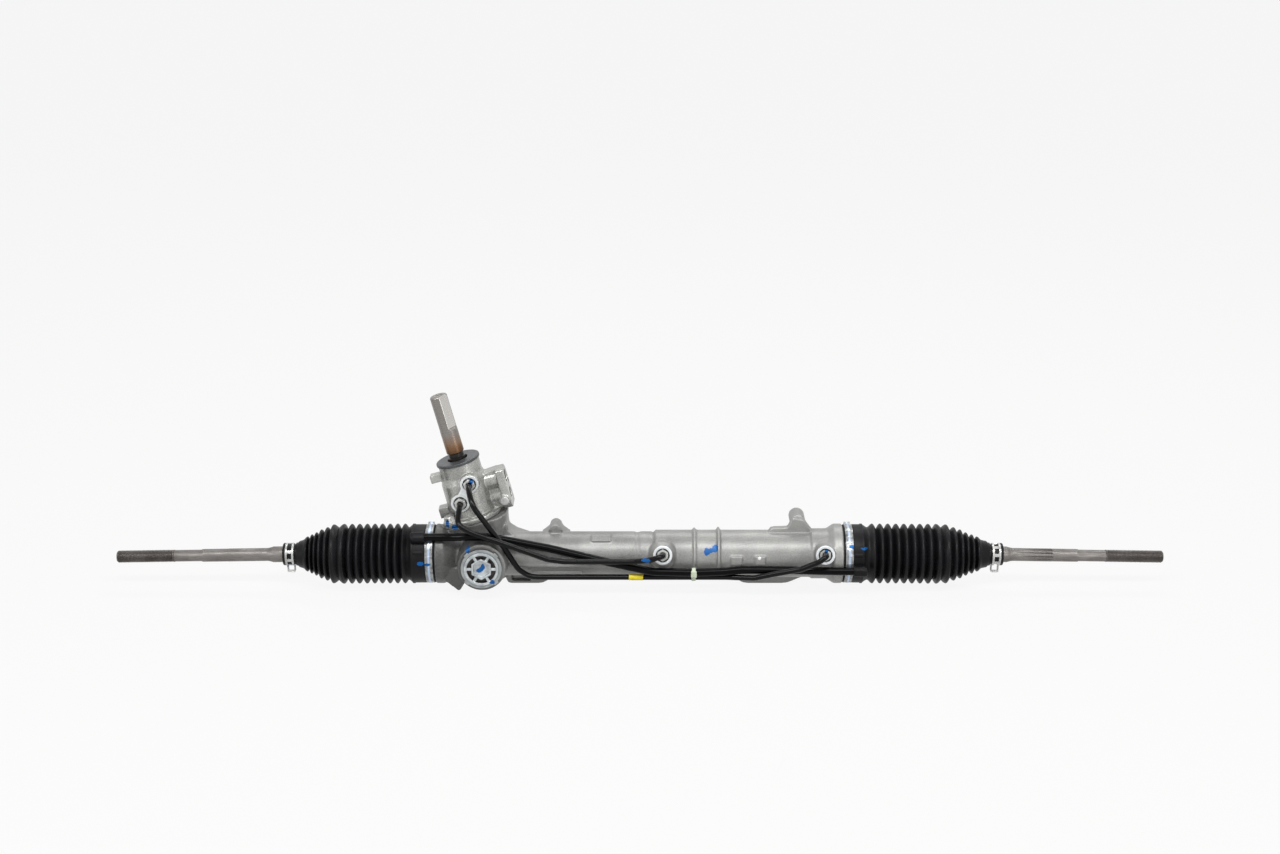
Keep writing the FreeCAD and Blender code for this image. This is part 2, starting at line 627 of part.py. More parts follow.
def valve_hose_block():
    """Side block with the pressure and return ports and its drilled flange."""
    across = Vector(1, 0, 0)
    barrels = [rod(Vector(5, 0, along), across, HOSE_FACE_U - 9, bore + 4.2) for along, bore in HOSE_PORTS]
    shoulder = plate([(10, 46), (10, 88, 4), (HOSE_FACE_U - 8, 91), (HOSE_FACE_U - 8, 46)], 18)
    shoulder = at(shoulder, Vector(0, 9, 0), Rotation(Vector(1, 0, 0), 90))
    face = plate([(-15, 44, 6), (15, 44, 6), (15, 91, 10), (-15, 91, 3)], 9)
    face = at(face, Vector(HOSE_FACE_U - 9, 0, 0), Rotation(Vector(1, 1, 1), 120))
    plug_boss = rod(Vector(40, -8, 55), Vector(0, -1, 0), 9, 6.2)
    return barrels + [shoulder, face, plug_boss]


def make_valve_housing():
    solid = fuse(valve_housing_body() + valve_port_pad() + valve_hose_block())
    bore = turned([(SPLIT_S - 1, 0), (SPLIT_S - 1, VALVE_BORE_R), (VALVE_BORE_TOP, VALVE_BORE_R),
                   (VALVE_BORE_TOP, INPUT_BEARING_R), (SEAL_BOTTOM, INPUT_BEARING_R),
                   (SEAL_BOTTOM, INPUT_SEAL_R),
                   (VALVE_TOP + 1, INPUT_SEAL_R), (VALVE_TOP + 1, 0)])
    holes = [bore]
    for along, across in VALVE_PORTS:
        base = -VALVE_PAD_V - VALVE_RECESS_DEPTH
        seat = base - PORT_NOSE - 0.5
        port = turned([(0, 0), (0, PASSAGE_R), (seat, PASSAGE_R), (seat, PORT_THREAD_R),
                       (base, PORT_THREAD_R), (base, PORT_RECESS_R),
                       (-VALVE_PAD_V + 1, PORT_RECESS_R), (-VALVE_PAD_V + 1, 0)])
        holes.append(at(port, Vector(across, 0, along), towards(Vector(0, -1, 0))))
    for along, bore_r in HOSE_PORTS:
        floor = HOSE_FACE_U - HOSE_BORE_DEPTH
        port = turned([(0, 0), (0, 2.5), (floor, 2.5), (floor, bore_r),
                       (HOSE_FACE_U + 1, bore_r), (HOSE_FACE_U + 1, 0)])
        holes.append(at(port, Vector(0, 0, along), towards(Vector(1, 0, 0))))
    holes.append(rod(Vector(HOSE_FACE_U - 16, 9.5, 68), Vector(1, 0, 0), 17, HOSE_SCREW_R))
    for across, front in valve_bolt_places():
        holes.append(rod(Vector(across, front, SPLIT_S - 1), Vector(0, 0, 1), 30, BOLT_R + SEAT_GAP))
        holes.append(rod(Vector(across, front, FLANGE_TOP), Vector(0, 0, 1), 9, 8.0))
    holes.append(rod(Vector(40, -12, 55), Vector(0, -1, 0), 6, PASSAGE_PLUG_R))
    return on_pinion(solid.cut(holes))


def make_valve_housing_bolts():
    bolts = []
    for across, front in valve_bolt_places():
        head = at(plate(hexagon(BOLT_HEAD_FLATS), 6), Vector(0, 0, FLANGE_TOP))
        shank = rod(Vector(0, 0, SPLIT_S - 19), Vector(0, 0, 1), FLANGE_TOP - SPLIT_S + 19, BOLT_R - SEAT_GAP)
        bolts.append(at(fuse([head, shank]), Vector(across, front, 0)))
    return on_pinion(compound(bolts))


def make_passage_plug():
    shank_r = PASSAGE_PLUG_R - SEAT_GAP
    plug = turned([(0, 0), (0, shank_r), (4, shank_r), (4, 5.2), (6.2, 4.6, 1.0), (6.2, 0)])
    return on_pinion(at(plug, Vector(40, -13, 55), towards(Vector(0, -1, 0))))


def make_dust_cover():
    low, high, inner = VALVE_TOP - COVER_SKIRT, VALVE_TOP + COVER_THICK, VALVE_NECK_R + SEAT_GAP
    cover = turned([(low, inner), (low, COVER_R, 0.5), (high, COVER_R, 1.0), (high, COVER_HOLE_R),
                    (VALVE_TOP, COVER_HOLE_R), (VALVE_TOP, inner)])
    return on_pinion(cover)


def make_input_seal():
    inner = INPUT_SHAFT_R + RUNNING_GAP
    outer = INPUT_SEAL_R - SEAT_GAP
    seal = turned([(SEAL_BOTTOM, inner), (SEAL_BOTTOM, outer), (VALVE_TOP, outer),
                   (VALVE_TOP, inner + 2.5), (SEAL_BOTTOM + 3, inner + 2.5), (SEAL_BOTTOM + 3, inner)])
    return on_pinion(seal)


def make_input_bearing():
    inner, outer = INPUT_SHAFT_R + RUNNING_GAP, INPUT_BEARING_R - SEAT_GAP
    return on_pinion(tube(VALVE_BORE_TOP, SEAL_BOTTOM, inner, outer))


def make_pinion_upper_bearing():
    bottom, inner, outer = UPPER_BEARING_BOTTOM, PINION_JOURNAL_R + RUNNING_GAP, UPPER_BEARING_R - SEAT_GAP
    return on_pinion(tube(bottom, bottom + UPPER_BEARING_WIDTH, inner, outer))


def make_pinion_seal():
    inner, outer = PINION_JOURNAL_R + RUNNING_GAP, UPPER_BEARING_R - SEAT_GAP
    seal = turned([(PINION_SEAL_BOTTOM, inner + 2), (PINION_SEAL_BOTTOM, outer), (SPLIT_S - 0.5, outer),
                   (SPLIT_S - 0.5, inner), (SPLIT_S - 3, inner), (SPLIT_S - 3, inner + 2)])
    return on_pinion(seal)


def bearing_ring(inner, outer):
    """One race of the lower ball bearing with its ball groove."""
    bottom = LOWER_BEARING_TOP - LOWER_BEARING_WIDTH
    ring = tube(bottom, LOWER_BEARING_TOP, inner, outer)
    groove = Part.makeTorus(BEARING_BALL_CIRCLE_R, BEARING_BALL_R + RUNNING_GAP)
    return ring.cut(at(groove, Vector(0, 0, bottom + LOWER_BEARING_WIDTH / 2)))


def make_lower_bearing_outer():
    inner = BEARING_BALL_CIRCLE_R + BEARING_BALL_R * 0.6
    return on_pinion(bearing_ring(inner, LOWER_BEARING_R - SEAT_GAP))


def make_lower_bearing_inner():
    outer = BEARING_BALL_CIRCLE_R - BEARING_BALL_R * 0.6
    return on_pinion(bearing_ring(LOWER_JOURNAL_R + SEAT_GAP, outer))


def make_lower_bearing_balls():
    height = LOWER_BEARING_TOP - LOWER_BEARING_WIDTH / 2
    balls = []
    for i in range(BEARING_BALLS):
        angle = 2 * math.pi * i / BEARING_BALLS
        centre = circle_point(BEARING_BALL_CIRCLE_R, angle) + Vector(0, 0, height)
        balls.append(Part.makeSphere(BEARING_BALL_R, centre))
    return on_pinion(compound(balls))


def make_pinion_end_cap():
    cap = turned([(PINION_BOTTOM, 0), (PINION_BOTTOM, END_CAP_R - SEAT_GAP, 0.6),
                  (PINION_BOTTOM + END_CAP_THICK, END_CAP_R - SEAT_GAP), (PINION_BOTTOM + END_CAP_THICK, 0)])
    pocket = at(plate(hexagon(14), 1.8), Vector(0, 0, PINION_BOTTOM - 0.01))
    return on_pinion(cap.cut(pocket))


# Yoke that presses the bar against the pinion

def facing_front(shape, x, y):
    """Turns a shape drawn along +Z to face the front."""
    return at(shape, Vector(x, y, 0), towards(Vector(0, -1, 0)))


def make_support_yoke():
    length = YOKE_FRONT_Y - YOKE_BACK_Y
    outer = YOKE_R - SEAT_GAP
    groove = length - YOKE_RING_FROM_BACK
    pocket_r = SPRING_R + 2.2
    body = turned([
        (0, 0), (0, outer), (groove, outer), (groove, YOKE_R - YOKE_RING_GROOVE),
        (groove + YOKE_RING_ROOM, YOKE_R - YOKE_RING_GROOVE), (groove + YOKE_RING_ROOM, outer),
        (length, outer, 0.8), (length, pocket_r), (length - SPRING_POCKET, pocket_r),
        (length - SPRING_POCKET, 0),
    ])
    body = facing_front(body, PINION_X, YOKE_FRONT_Y)
    return body.cut(rod_x(PINION_X - 30, PINION_X + 30, BAR_R + LINER_THICK + SEAT_GAP))


def make_yoke_liner():
    """Slippery pad bent round the bar, trimmed to the yoke."""
    shell = tube_x(PINION_X - 13, PINION_X + 13, BAR_R + RUNNING_GAP, BAR_R + LINER_THICK)
    front = box((PINION_X - 20, -30, -10.2), (PINION_X + 20, YOKE_FRONT_Y - 1, 10.2))
    return shell.common(front)


def make_yoke_spring():
    """Coil spring with four turns between the yoke pocket and the adjuster plug."""
    start = YOKE_BACK_Y + SPRING_POCKET - SPRING_WIRE_R
    length = start - (PLUG_BACK_Y + SPRING_WIRE_R)
    helix = Part.makeHelix(length / SPRING_TURNS, length, SPRING_R)
    section = Part.Wire(Part.makeCircle(SPRING_WIRE_R, Vector(SPRING_R, 0, 0), Vector(0, 1, 0)))
    coil = Part.Wire(helix).makePipeShell([section], True, True)
    return facing_front(coil, PINION_X, start)


def make_yoke_o_ring():
    y = YOKE_BACK_Y + YOKE_RING_FROM_BACK - YOKE_RING_ROOM / 2
    ring = Part.makeTorus(YOKE_R - YOKE_RING_GROOVE / 2, YOKE_RING_WIRE_R)
    return facing_front(ring, PINION_X, y)


def make_adjuster_plug():
    """Threaded plug with a rim, six spokes and a raised hexagon with a hexagon socket."""
    face_y = YOKE_BOSS_Y - LOCK_RING_THICK - 1.5
    height = PLUG_BACK_Y - face_y
    rim = PLUG_R - 3.1
    body = turned([(0, 0), (0, PLUG_R - SEAT_GAP, 0.8), (height, PLUG_R - SEAT_GAP, 0.6), (height, 0)])
    recess = rod(Vector(0, 0, height - PLUG_RECESS), Vector(0, 0, 1), PLUG_RECESS + 1, rim)
    corner_up = Rotation(Vector(0, 0, 1), 90)
    floor = height - PLUG_RECESS
    core = at(plate(hexagon(PLUG_HEX_FLATS), PLUG_RECESS), Vector(0, 0, floor), corner_up)
    spokes = []
    for i in range(6):
        spoke = box((0, -1.6, height - PLUG_RECESS), (rim + 1, 1.6, height - 0.8))
        spokes.append(at(spoke, Vector(), Rotation(Vector(0, 0, 1), 60 * i)))
    socket = at(plate(hexagon(PLUG_HEX_FLATS - 3.6), PLUG_RECESS), Vector(0, 0, floor + 1), corner_up)
    plug = body.cut(recess).fuse([core] + spokes).cut(socket).removeSplitter()
    return facing_front(plug, PINION_X, PLUG_BACK_Y)


def make_plug_lock_ring():
    ring = tube(0, LOCK_RING_THICK, PLUG_R + SEAT_GAP, LOCK_RING_R)
    lugs = []
    for i in range(4):
        lug = box((LOCK_RING_R - 1, -3, 0), (LOCK_RING_R + 1.6, 3, LOCK_RING_THICK))
        lugs.append(at(lug, Vector(), Rotation(Vector(0, 0, 1), 45 + 90 * i)))
    return facing_front(fuse([ring] + lugs), PINION_X, YOKE_BOSS_Y)


# Inside the hydraulic cylinder

def make_inner_cylinder_seal():
    return tube_x(CYLINDER_X, CYLINDER_X + INNER_SEAL_WIDTH, BAR_R + RUNNING_GAP, CYLINDER_BORE_R - SEAT_GAP)


def make_end_bush():
    """Bush that closes the cylinder and guides the bar, with a seal pocket and an outer ring groove."""
    inner, outer = BAR_R + RUNNING_GAP, CYLINDER_BORE_R - SEAT_GAP
    pocket_r = BAR_R + BUSH_SEAL_DEPTH
    groove_r = CYLINDER_BORE_R - BUSH_RING_GROOVE
    groove = BUSH_X + BUSH_RING_FROM_FACE
    nose_r = SNAP_RING_INNER_R - 0.2
    return turned_x([
        (BUSH_X, pocket_r), (BUSH_X, outer), (groove, outer), (groove, groove_r),
        (groove + BUSH_RING_ROOM, groove_r), (groove + BUSH_RING_ROOM, outer), (SNAP_RING_X, outer),
        (SNAP_RING_X, nose_r), (RIGHT_STOP_X, nose_r, 0.8), (RIGHT_STOP_X, inner),
        (BUSH_X + BUSH_SEAL_WIDTH, inner), (BUSH_X + BUSH_SEAL_WIDTH, pocket_r),
    ])


def make_end_bush_seal():
    outer = BAR_R + BUSH_SEAL_DEPTH - SEAT_GAP
    return tube_x(BUSH_X, BUSH_X + BUSH_SEAL_WIDTH, BAR_R + RUNNING_GAP, outer)


def make_end_bush_o_ring():
    ring = Part.makeTorus(CYLINDER_BORE_R - BUSH_RING_GROOVE / 2, BUSH_RING_WIRE_R)
    x = BUSH_X + BUSH_RING_FROM_FACE + BUSH_RING_ROOM / 2
    return at(ring, Vector(x, 0, 0), Rotation(Vector(0, 1, 0), 90))


def make_bush_snap_ring():
    ring = tube_x(SNAP_RING_X, SNAP_RING_X + SNAP_RING_THICK, SNAP_RING_INNER_R, SNAP_GROOVE_R - 0.3)
    gap = box((SNAP_RING_X - 1, -3.5, -30), (SNAP_RING_X + SNAP_RING_THICK + 1, 3.5, 0))
    return ring.cut(gap)


def make_piston():
    inner = BAR_R
    outer = CYLINDER_BORE_R - 0.25
    half = PISTON_WIDTH / 2
    ring_half = PISTON_RING_WIDTH / 2 + SEAT_GAP
    return turned_x([
        (PISTON_X - half, inner), (PISTON_X - half, outer, 0.6), (PISTON_X - ring_half, outer),
        (PISTON_X - ring_half, PISTON_GROOVE_R), (PISTON_X + ring_half, PISTON_GROOVE_R),
        (PISTON_X + ring_half, outer), (PISTON_X + half, outer, 0.6), (PISTON_X + half, inner),
    ])


def make_piston_ring():
    half = PISTON_RING_WIDTH / 2
    return tube_x(PISTON_X - half, PISTON_X + half, PISTON_GROOVE_R + SEAT_GAP, CYLINDER_BORE_R - RUNNING_GAP)


# Rack bar and pinion

def tooth_gap_prism():
    """The space between two rack teeth, as a long trapezoid along the tooth direction."""
    depth = ROOT_FACTOR * NORMAL_MODULE
    half = math.pi * NORMAL_MODULE / 4
    slope = math.tan(PRESSURE_ANGLE)
    top = 1.6
    wide = half + (NORMAL_MODULE + top) * slope
    narrow = half - depth * slope
    low, high = DATUM_Y - depth, TIP_PLANE_Y + top
    prism = plate([(-wide, high), (-narrow, low, 0.4), (narrow, low, 0.4), (wide, high)], 60)
    return at(at(prism, Vector(0, 0, -30)), Vector(), Rotation(Vector(0, 1, 0), math.degrees(TOOTH_LEAN)))


def make_rack_bar():
    bar = turned_x([(-BAR_END_X, 0), (-BAR_END_X, BAR_R, 1.0), (BAR_END_X, BAR_R, 1.0), (BAR_END_X, 0)])
    count = int(TOOTHED_LENGTH / TOOTH_PITCH_X / 2)
    reach = (count + 0.5) * TOOTH_PITCH_X
    flat = box((PINION_X - reach, TIP_PLANE_Y, -BAR_R), (PINION_X + reach, BAR_R + 1, BAR_R))
    gap = tooth_gap_prism()
    gaps = [at(gap, Vector(PINION_X + (i + 0.5) * TOOTH_PITCH_X, 0, 0)) for i in range(-count, count)]
    tapped = []
    for side in (-1, 1):
        start = Vector(side * (BAR_END_X - BAR_TAP_DEPTH), 0, 0)
        tapped.append(rod(start, Vector(side, 0, 0), BAR_TAP_DEPTH + 1, SOCKET_STUD_R + SEAT_GAP))
    return bar.cut([flat] + gaps + tapped)


def involute(angle):
    return math.tan(angle) - angle


def pinion_half_angle(radius):
    """Half the angle that a pinion tooth takes up at a radius, in the transverse plane."""
    transverse = math.atan(math.tan(PRESSURE_ANGLE) / math.cos(HELIX))
    base_r = PITCH_R * math.cos(transverse)
    play = FLANK_PLAY / math.cos(PRESSURE_ANGLE)
    shifted = 2 * PROFILE_SHIFT * math.tan(PRESSURE_ANGLE)
    thickness = NORMAL_MODULE * (math.pi / 2 + shifted) - 2 * play
    at_base = thickness / math.cos(HELIX) / (2 * PITCH_R) + involute(transverse)
    if radius <= base_r:
        return at_base
    return at_base - involute(math.acos(base_r / radius))


def pinion_section():
    """Transverse section at the rack axis level, with a tooth space facing the rack."""
    transverse = math.atan(math.tan(PRESSURE_ANGLE) / math.cos(HELIX))
    base_r = PITCH_R * math.cos(transverse)
    flank = [base_r + (PINION_TIP_R - base_r) * i / FLANK_STEPS for i in range(FLANK_STEPS + 1)]
    space = 2 * math.pi / PINION_TEETH
    root_angle = pinion_half_angle(base_r)
    edges = []
    for tooth in range(PINION_TEETH):
        centre = -math.pi / 2 + (tooth + 0.5) * space
        left = [circle_point(r, centre - pinion_half_angle(r)) for r in flank]
        right = [circle_point(r, centre + pinion_half_angle(r)) for r in reversed(flank)]
        edges.append(Part.makeLine(circle_point(PINION_ROOT_R, centre - root_angle), left[0]))
        edges.append(spline(left))
        edges.append(Part.Arc(left[-1], circle_point(PINION_TIP_R, centre), right[0]).toShape())
        edges.append(spline(right))
        edges.append(Part.makeLine(right[-1], circle_point(PINION_ROOT_R, centre + root_angle)))
        edges.append(circle_arc(PINION_ROOT_R, centre + root_angle, centre + space - root_angle))
    return Part.Wire(edges)


def spline(points):
    curve = Part.BSplineCurve()
    curve.interpolate(points)
    return curve.toShape()


def helical_gear():
    """Sweeps the tooth section along the axis while it turns with the helix."""
    length = 2 * PINION_GEAR_HALF
    pitch = 2 * math.pi * PITCH_R / math.tan(HELIX)
    start_turn = -math.degrees(2 * math.pi * PINION_GEAR_HALF / pitch)
    section = at(pinion_section(), Vector(0, 0, -PINION_GEAR_HALF), Rotation(Vector(0, 0, 1), start_turn))
    spine = Part.Wire(Part.makeLine(Vector(0, 0, -PINION_GEAR_HALF), Vector(0, 0, PINION_GEAR_HALF)))
    guide = at(Part.Wire(Part.makeHelix(pitch, length, PITCH_R)), Vector(0, 0, -PINION_GEAR_HALF))
    sweep = Part.BRepOffsetAPI.MakePipeShell(spine)
    sweep.setAuxiliarySpine(guide, True, 0)
    sweep.add(section, False, False)
    sweep.build()
    sweep.makeSolid()
    return sweep.shape()


def make_pinion():
    core = PINION_ROOT_R - 0.2
    thread_end = LOWER_BEARING_TOP - LOWER_BEARING_WIDTH - PINION_NUT_THICK - 1
    shaft = turned([
        (thread_end, 0), (thread_end, LOWER_JOURNAL_R - 0.6),
        (LOWER_BEARING_TOP - LOWER_BEARING_WIDTH, LOWER_JOURNAL_R - 0.6),
        (LOWER_BEARING_TOP - LOWER_BEARING_WIDTH, LOWER_JOURNAL_R), (LOWER_BEARING_TOP, LOWER_JOURNAL_R),
        (LOWER_BEARING_TOP, core), (PINION_GEAR_HALF, core), (PINION_GEAR_HALF + 1, PINION_JOURNAL_R),
        (SPLIT_S + 2, PINION_JOURNAL_R), (SPLIT_S + 2, PINION_HEAD_R, 0.6),
        (SLEEVE_BOTTOM, PINION_HEAD_R), (SLEEVE_BOTTOM, 0),
    ])
    gear = helical_gear()
    upward = Vector(0, 0, 1)
    socket_floor = Vector(0, 0, SLEEVE_BOTTOM - SPIGOT_SOCKET_DEPTH)
    socket = rod(socket_floor, upward, SPIGOT_SOCKET_DEPTH + 1, INPUT_SPIGOT_R + RUNNING_GAP)
    hole_depth = SLEEVE_BOTTOM - TORSION_BAR_BOTTOM
    bar_hole = rod(Vector(0, 0, TORSION_BAR_BOTTOM), upward, hole_depth, TORSION_FOOT_R + SEAT_GAP)
    return on_pinion(gear.fuse(shaft).cut([socket, bar_hole]))


def make_pinion_nut():
    top = LOWER_BEARING_TOP - LOWER_BEARING_WIDTH
    nut = at(plate(hexagon(17), PINION_NUT_THICK), Vector(0, 0, top - PINION_NUT_THICK))
    hole_r = LOWER_JOURNAL_R - 0.6 + SEAT_GAP
    return on_pinion(nut.cut(rod(Vector(0, 0, top - 10), Vector(0, 0, 1), 20, hole_r)))


# Rotary valve and steering input

def make_valve_sleeve():
    """Sleeve with four ring grooves, three port grooves with their holes, and eight inner slots."""
    outline_points = [(SLEEVE_BOTTOM, ROTOR_R + RUNNING_GAP), (SLEEVE_BOTTOM, SLEEVE_R)]
    for middle in SLEEVE_RING_PLACES:
        low, high = middle - SLEEVE_RING_WIDTH / 2, middle + SLEEVE_RING_WIDTH / 2
        outline_points += [(low, SLEEVE_R), (low, SLEEVE_R - 1.5), (high, SLEEVE_R - 1.5), (high, SLEEVE_R)]
    outline_points += [(SLEEVE_TOP, SLEEVE_R), (SLEEVE_TOP, ROTOR_R + RUNNING_GAP)]
    sleeve = turned(outline_points)
    holes = []
    for i, (low, high) in enumerate(zip(SLEEVE_RING_PLACES, SLEEVE_RING_PLACES[1:])):
        for k in range(4):
            angle = math.radians(90 * k + 30 * i)
            direction = Vector(math.cos(angle), math.sin(angle), 0)
            holes.append(rod(Vector(0, 0, (low + high) / 2), direction, SLEEVE_R + 1, 1.5))
    return on_pinion(sleeve.cut(holes))


def make_sleeve_rings():
    rings = []
    for middle in SLEEVE_RING_PLACES:
        low, high = middle - SLEEVE_RING_WIDTH / 2, middle + SLEEVE_RING_WIDTH / 2
        inner = SLEEVE_R - 1.5 + SEAT_GAP
        rings.append(tube(low + SEAT_GAP, high - SEAT_GAP, inner, VALVE_BORE_R - RUNNING_GAP))
    return on_pinion(compound(rings))


def make_input_shaft():
    """Steering input with its flat, the valve rotor slots and the bore for the torsion bar."""
    top = INPUT_SHAFT_TOP
    lead_r = INPUT_SHAFT_R - SHAFT_LEAD_RELIEF
    round_top = SHAFT_FLAT_BOTTOM - SHAFT_CUTTER_R
    body = turned([
        (SLEEVE_BOTTOM - SPIGOT_SOCKET_DEPTH + 1, TORSION_HEAD_R + RUNNING_GAP),
        (SLEEVE_BOTTOM - SPIGOT_SOCKET_DEPTH + 1, INPUT_SPIGOT_R), (SLEEVE_BOTTOM + 1.5, INPUT_SPIGOT_R),
        (SLEEVE_BOTTOM + 1.5, ROTOR_R), (SLEEVE_TOP, ROTOR_R, 0.6), (SLEEVE_TOP, INPUT_SHAFT_R),
        (SHAFT_NECK[0], INPUT_SHAFT_R), (SHAFT_NECK[0] + 0.5, SHAFT_NECK_R),
        (SHAFT_NECK[1] - 1, SHAFT_NECK_R),
        (SHAFT_NECK[1], INPUT_SHAFT_R), (round_top, INPUT_SHAFT_R), (round_top + SHAFT_LEAD_STEP, lead_r),
        (top, lead_r, 1.2), (top, TORSION_HEAD_R + RUNNING_GAP),
    ])
    flat = box((INPUT_SHAFT_R - SHAFT_FLAT_DEPTH, -20, SHAFT_FLAT_BOTTOM), (30, 20, top + 1))
    runout_place = Vector(INPUT_SHAFT_R - SHAFT_FLAT_DEPTH + SHAFT_CUTTER_R, 0, SHAFT_FLAT_BOTTOM)
    runout = at(rod(Vector(0, -20, 0), Vector(0, 1, 0), 40, SHAFT_CUTTER_R), runout_place)
    turn = Rotation(Vector(0, 0, 1), SHAFT_FLAT_ANGLE)
    cuts = [at(flat, Vector(), turn), at(runout, Vector(), turn)]
    for i in range(8):
        slot = box((ROTOR_R - 1.2, -1.5, SLEEVE_BOTTOM + 10), (ROTOR_R + 1, 1.5, SLEEVE_TOP - 8))
        cuts.append(at(slot, Vector(), Rotation(Vector(0, 0, 1), 45 * i)))
    cuts.append(rod(Vector(-20, 0, top - PIN_FROM_TOP), Vector(1, 0, 0), 40, PIN_R + SEAT_GAP))
    return on_pinion(body.cut(cuts))


def make_torsion_bar():
    neck = 3.0
    head = INPUT_SHAFT_TOP - PIN_FROM_TOP - 7
    bar = turned([
        (TORSION_BAR_BOTTOM, 0), (TORSION_BAR_BOTTOM, TORSION_FOOT_R),
        (SLEEVE_BOTTOM - SPIGOT_SOCKET_DEPTH - 2, TORSION_FOOT_R),
        (SLEEVE_BOTTOM - SPIGOT_SOCKET_DEPTH - 2 + neck, TORSION_BAR_R), (head - neck, TORSION_BAR_R),
        (head, TORSION_HEAD_R), (INPUT_SHAFT_TOP - 1, TORSION_HEAD_R), (INPUT_SHAFT_TOP - 1, 0),
    ])
    pin_start = Vector(-20, 0, INPUT_SHAFT_TOP - PIN_FROM_TOP)
    return on_pinion(bar.cut(rod(pin_start, Vector(1, 0, 0), 40, PIN_R + SEAT_GAP)))


def make_torsion_bar_pin():
    length = 2 * (INPUT_SHAFT_R - 1.0)
    start = Vector(-length / 2, 0, INPUT_SHAFT_TOP - PIN_FROM_TOP)
    return on_pinion(rod(start, Vector(1, 0, 0), length, PIN_R))


# Inner ball joints and tie rods, drawn outward from the ball centre

def make_ball_socket(side):
    """Steel cup with a stud for the bar, closed round the race, and two flats for a wrench."""
    base = -SOCKET_BASE
    cavity_r = RACE_R + RUNNING_GAP
    stud_end = base - BAR_TAP_DEPTH + 2
    mouth = circle_point(cavity_r, SOCKET_MOUTH)
    corners = [
        (stud_end, 0, 0), (stud_end, SOCKET_STUD_R, 1), (base, SOCKET_STUD_R, 0), (base, SOCKET_R - 1, 1.0),
        (base + 3, SOCKET_R, 0), (mouth.x - 5, SOCKET_R, 2.0), (mouth.x, SOCKET_R - SOCKET_LIP, 0.8),
        (mouth.x, mouth.y, 0),
    ]
    outside = rounded_edges([Vector(c[0], c[1], 0) for c in corners], [c[2] for c in corners], False)
    axis = Part.makeLine(Vector(-cavity_r, 0, 0), Vector(stud_end, 0, 0))
    body = revolved_x([axis] + outside + [circle_arc(cavity_r, SOCKET_MOUTH, math.pi)])
    half = SOCKET_R - SOCKET_FLAT_DEPTH
    flats = []
    for low, high in ((half, half + 5), (-half - 5, -half)):
        flats.append(box((base - 1, low, -SOCKET_R), (base + SOCKET_FLAT_LENGTH, high, SOCKET_R)))
    return on_side(body.cut(flats), side, BALL_X)


def make_ball_race(side):
    """Plastic cup round the ball, open where the neck leaves it."""
    inner_r = BALL_R + RUNNING_GAP
    edges = [
        circle_arc(RACE_R, RACE_MOUTH, math.pi),
        Part.makeLine(Vector(-RACE_R, 0, 0), Vector(-inner_r, 0, 0)),
        circle_arc(inner_r, math.pi, RACE_MOUTH),
        Part.makeLine(circle_point(inner_r, RACE_MOUTH), circle_point(RACE_R, RACE_MOUTH)),
    ]
    return on_side(revolved_x(edges), side, BALL_X)


def make_tie_rod(side):
    """Ball, neck, boot seat, wrench flats and threaded end in one forging."""
    thread_start = ROD_REACH - ROD_THREAD_LENGTH
    waist_r = NECK_R + 1.6
    neck = circle_point(BALL_R, math.asin(NECK_R / BALL_R))
    corners = [
        (neck.x, neck.y, 0), (BALL_R + 5, NECK_R, 4), (BALL_R + 20, waist_r, 10),
        (ROD_COLLAR[0] - 6, waist_r, 0), (ROD_COLLAR[0], ROD_COLLAR_R, 0), (ROD_COLLAR[1], ROD_COLLAR_R, 1.5),
        (ROD_COLLAR[1] + 4, ROD_MID_R, 2), (ROD_FLATS[1], ROD_MID_R, 0),
        (ROD_PLAIN_START + 1, ROD_PLAIN_R, 0), (thread_start, ROD_PLAIN_R, 0),
        (thread_start + 1, ROD_THREAD_R, 0), (ROD_REACH - 1.5, ROD_THREAD_R, 0),
        (ROD_REACH, ROD_THREAD_R - 1.5, 0), (ROD_REACH, 0, 0),
    ]
    shank = rounded_edges([Vector(c[0], c[1], 0) for c in corners], [c[2] for c in corners], False)
    axis = Part.makeLine(Vector(ROD_REACH, 0, 0), Vector(-BALL_R, 0, 0))
    body = revolved_x([circle_arc(BALL_R, math.pi, math.asin(NECK_R / BALL_R))] + shank + [axis])
    half = ROD_FLATS_ACROSS / 2
    flats = []
    for low, high in ((half, half + 5), (-half - 5, -half)):
        flats.append(box((ROD_FLATS[0], -12, low), (ROD_FLATS[1], 12, high)))
    return on_side(body.cut(flats), side, BALL_X, ROD_DROOP)


# Rubber boots, drawn outward from the housing flange

def flange_reach(side):
    return RIGHT_FLANGE_X if side > 0 else -LEFT_FLANGE_X


def boot_tilt():
    """The boot's small end follows the drooping rod, so its axis leans a little."""
    seat = ROD_COLLAR[0] + 10
    return math.atan(seat * math.tan(ROD_DROOP) / (BALL_X + seat - RIGHT_FLANGE_X))


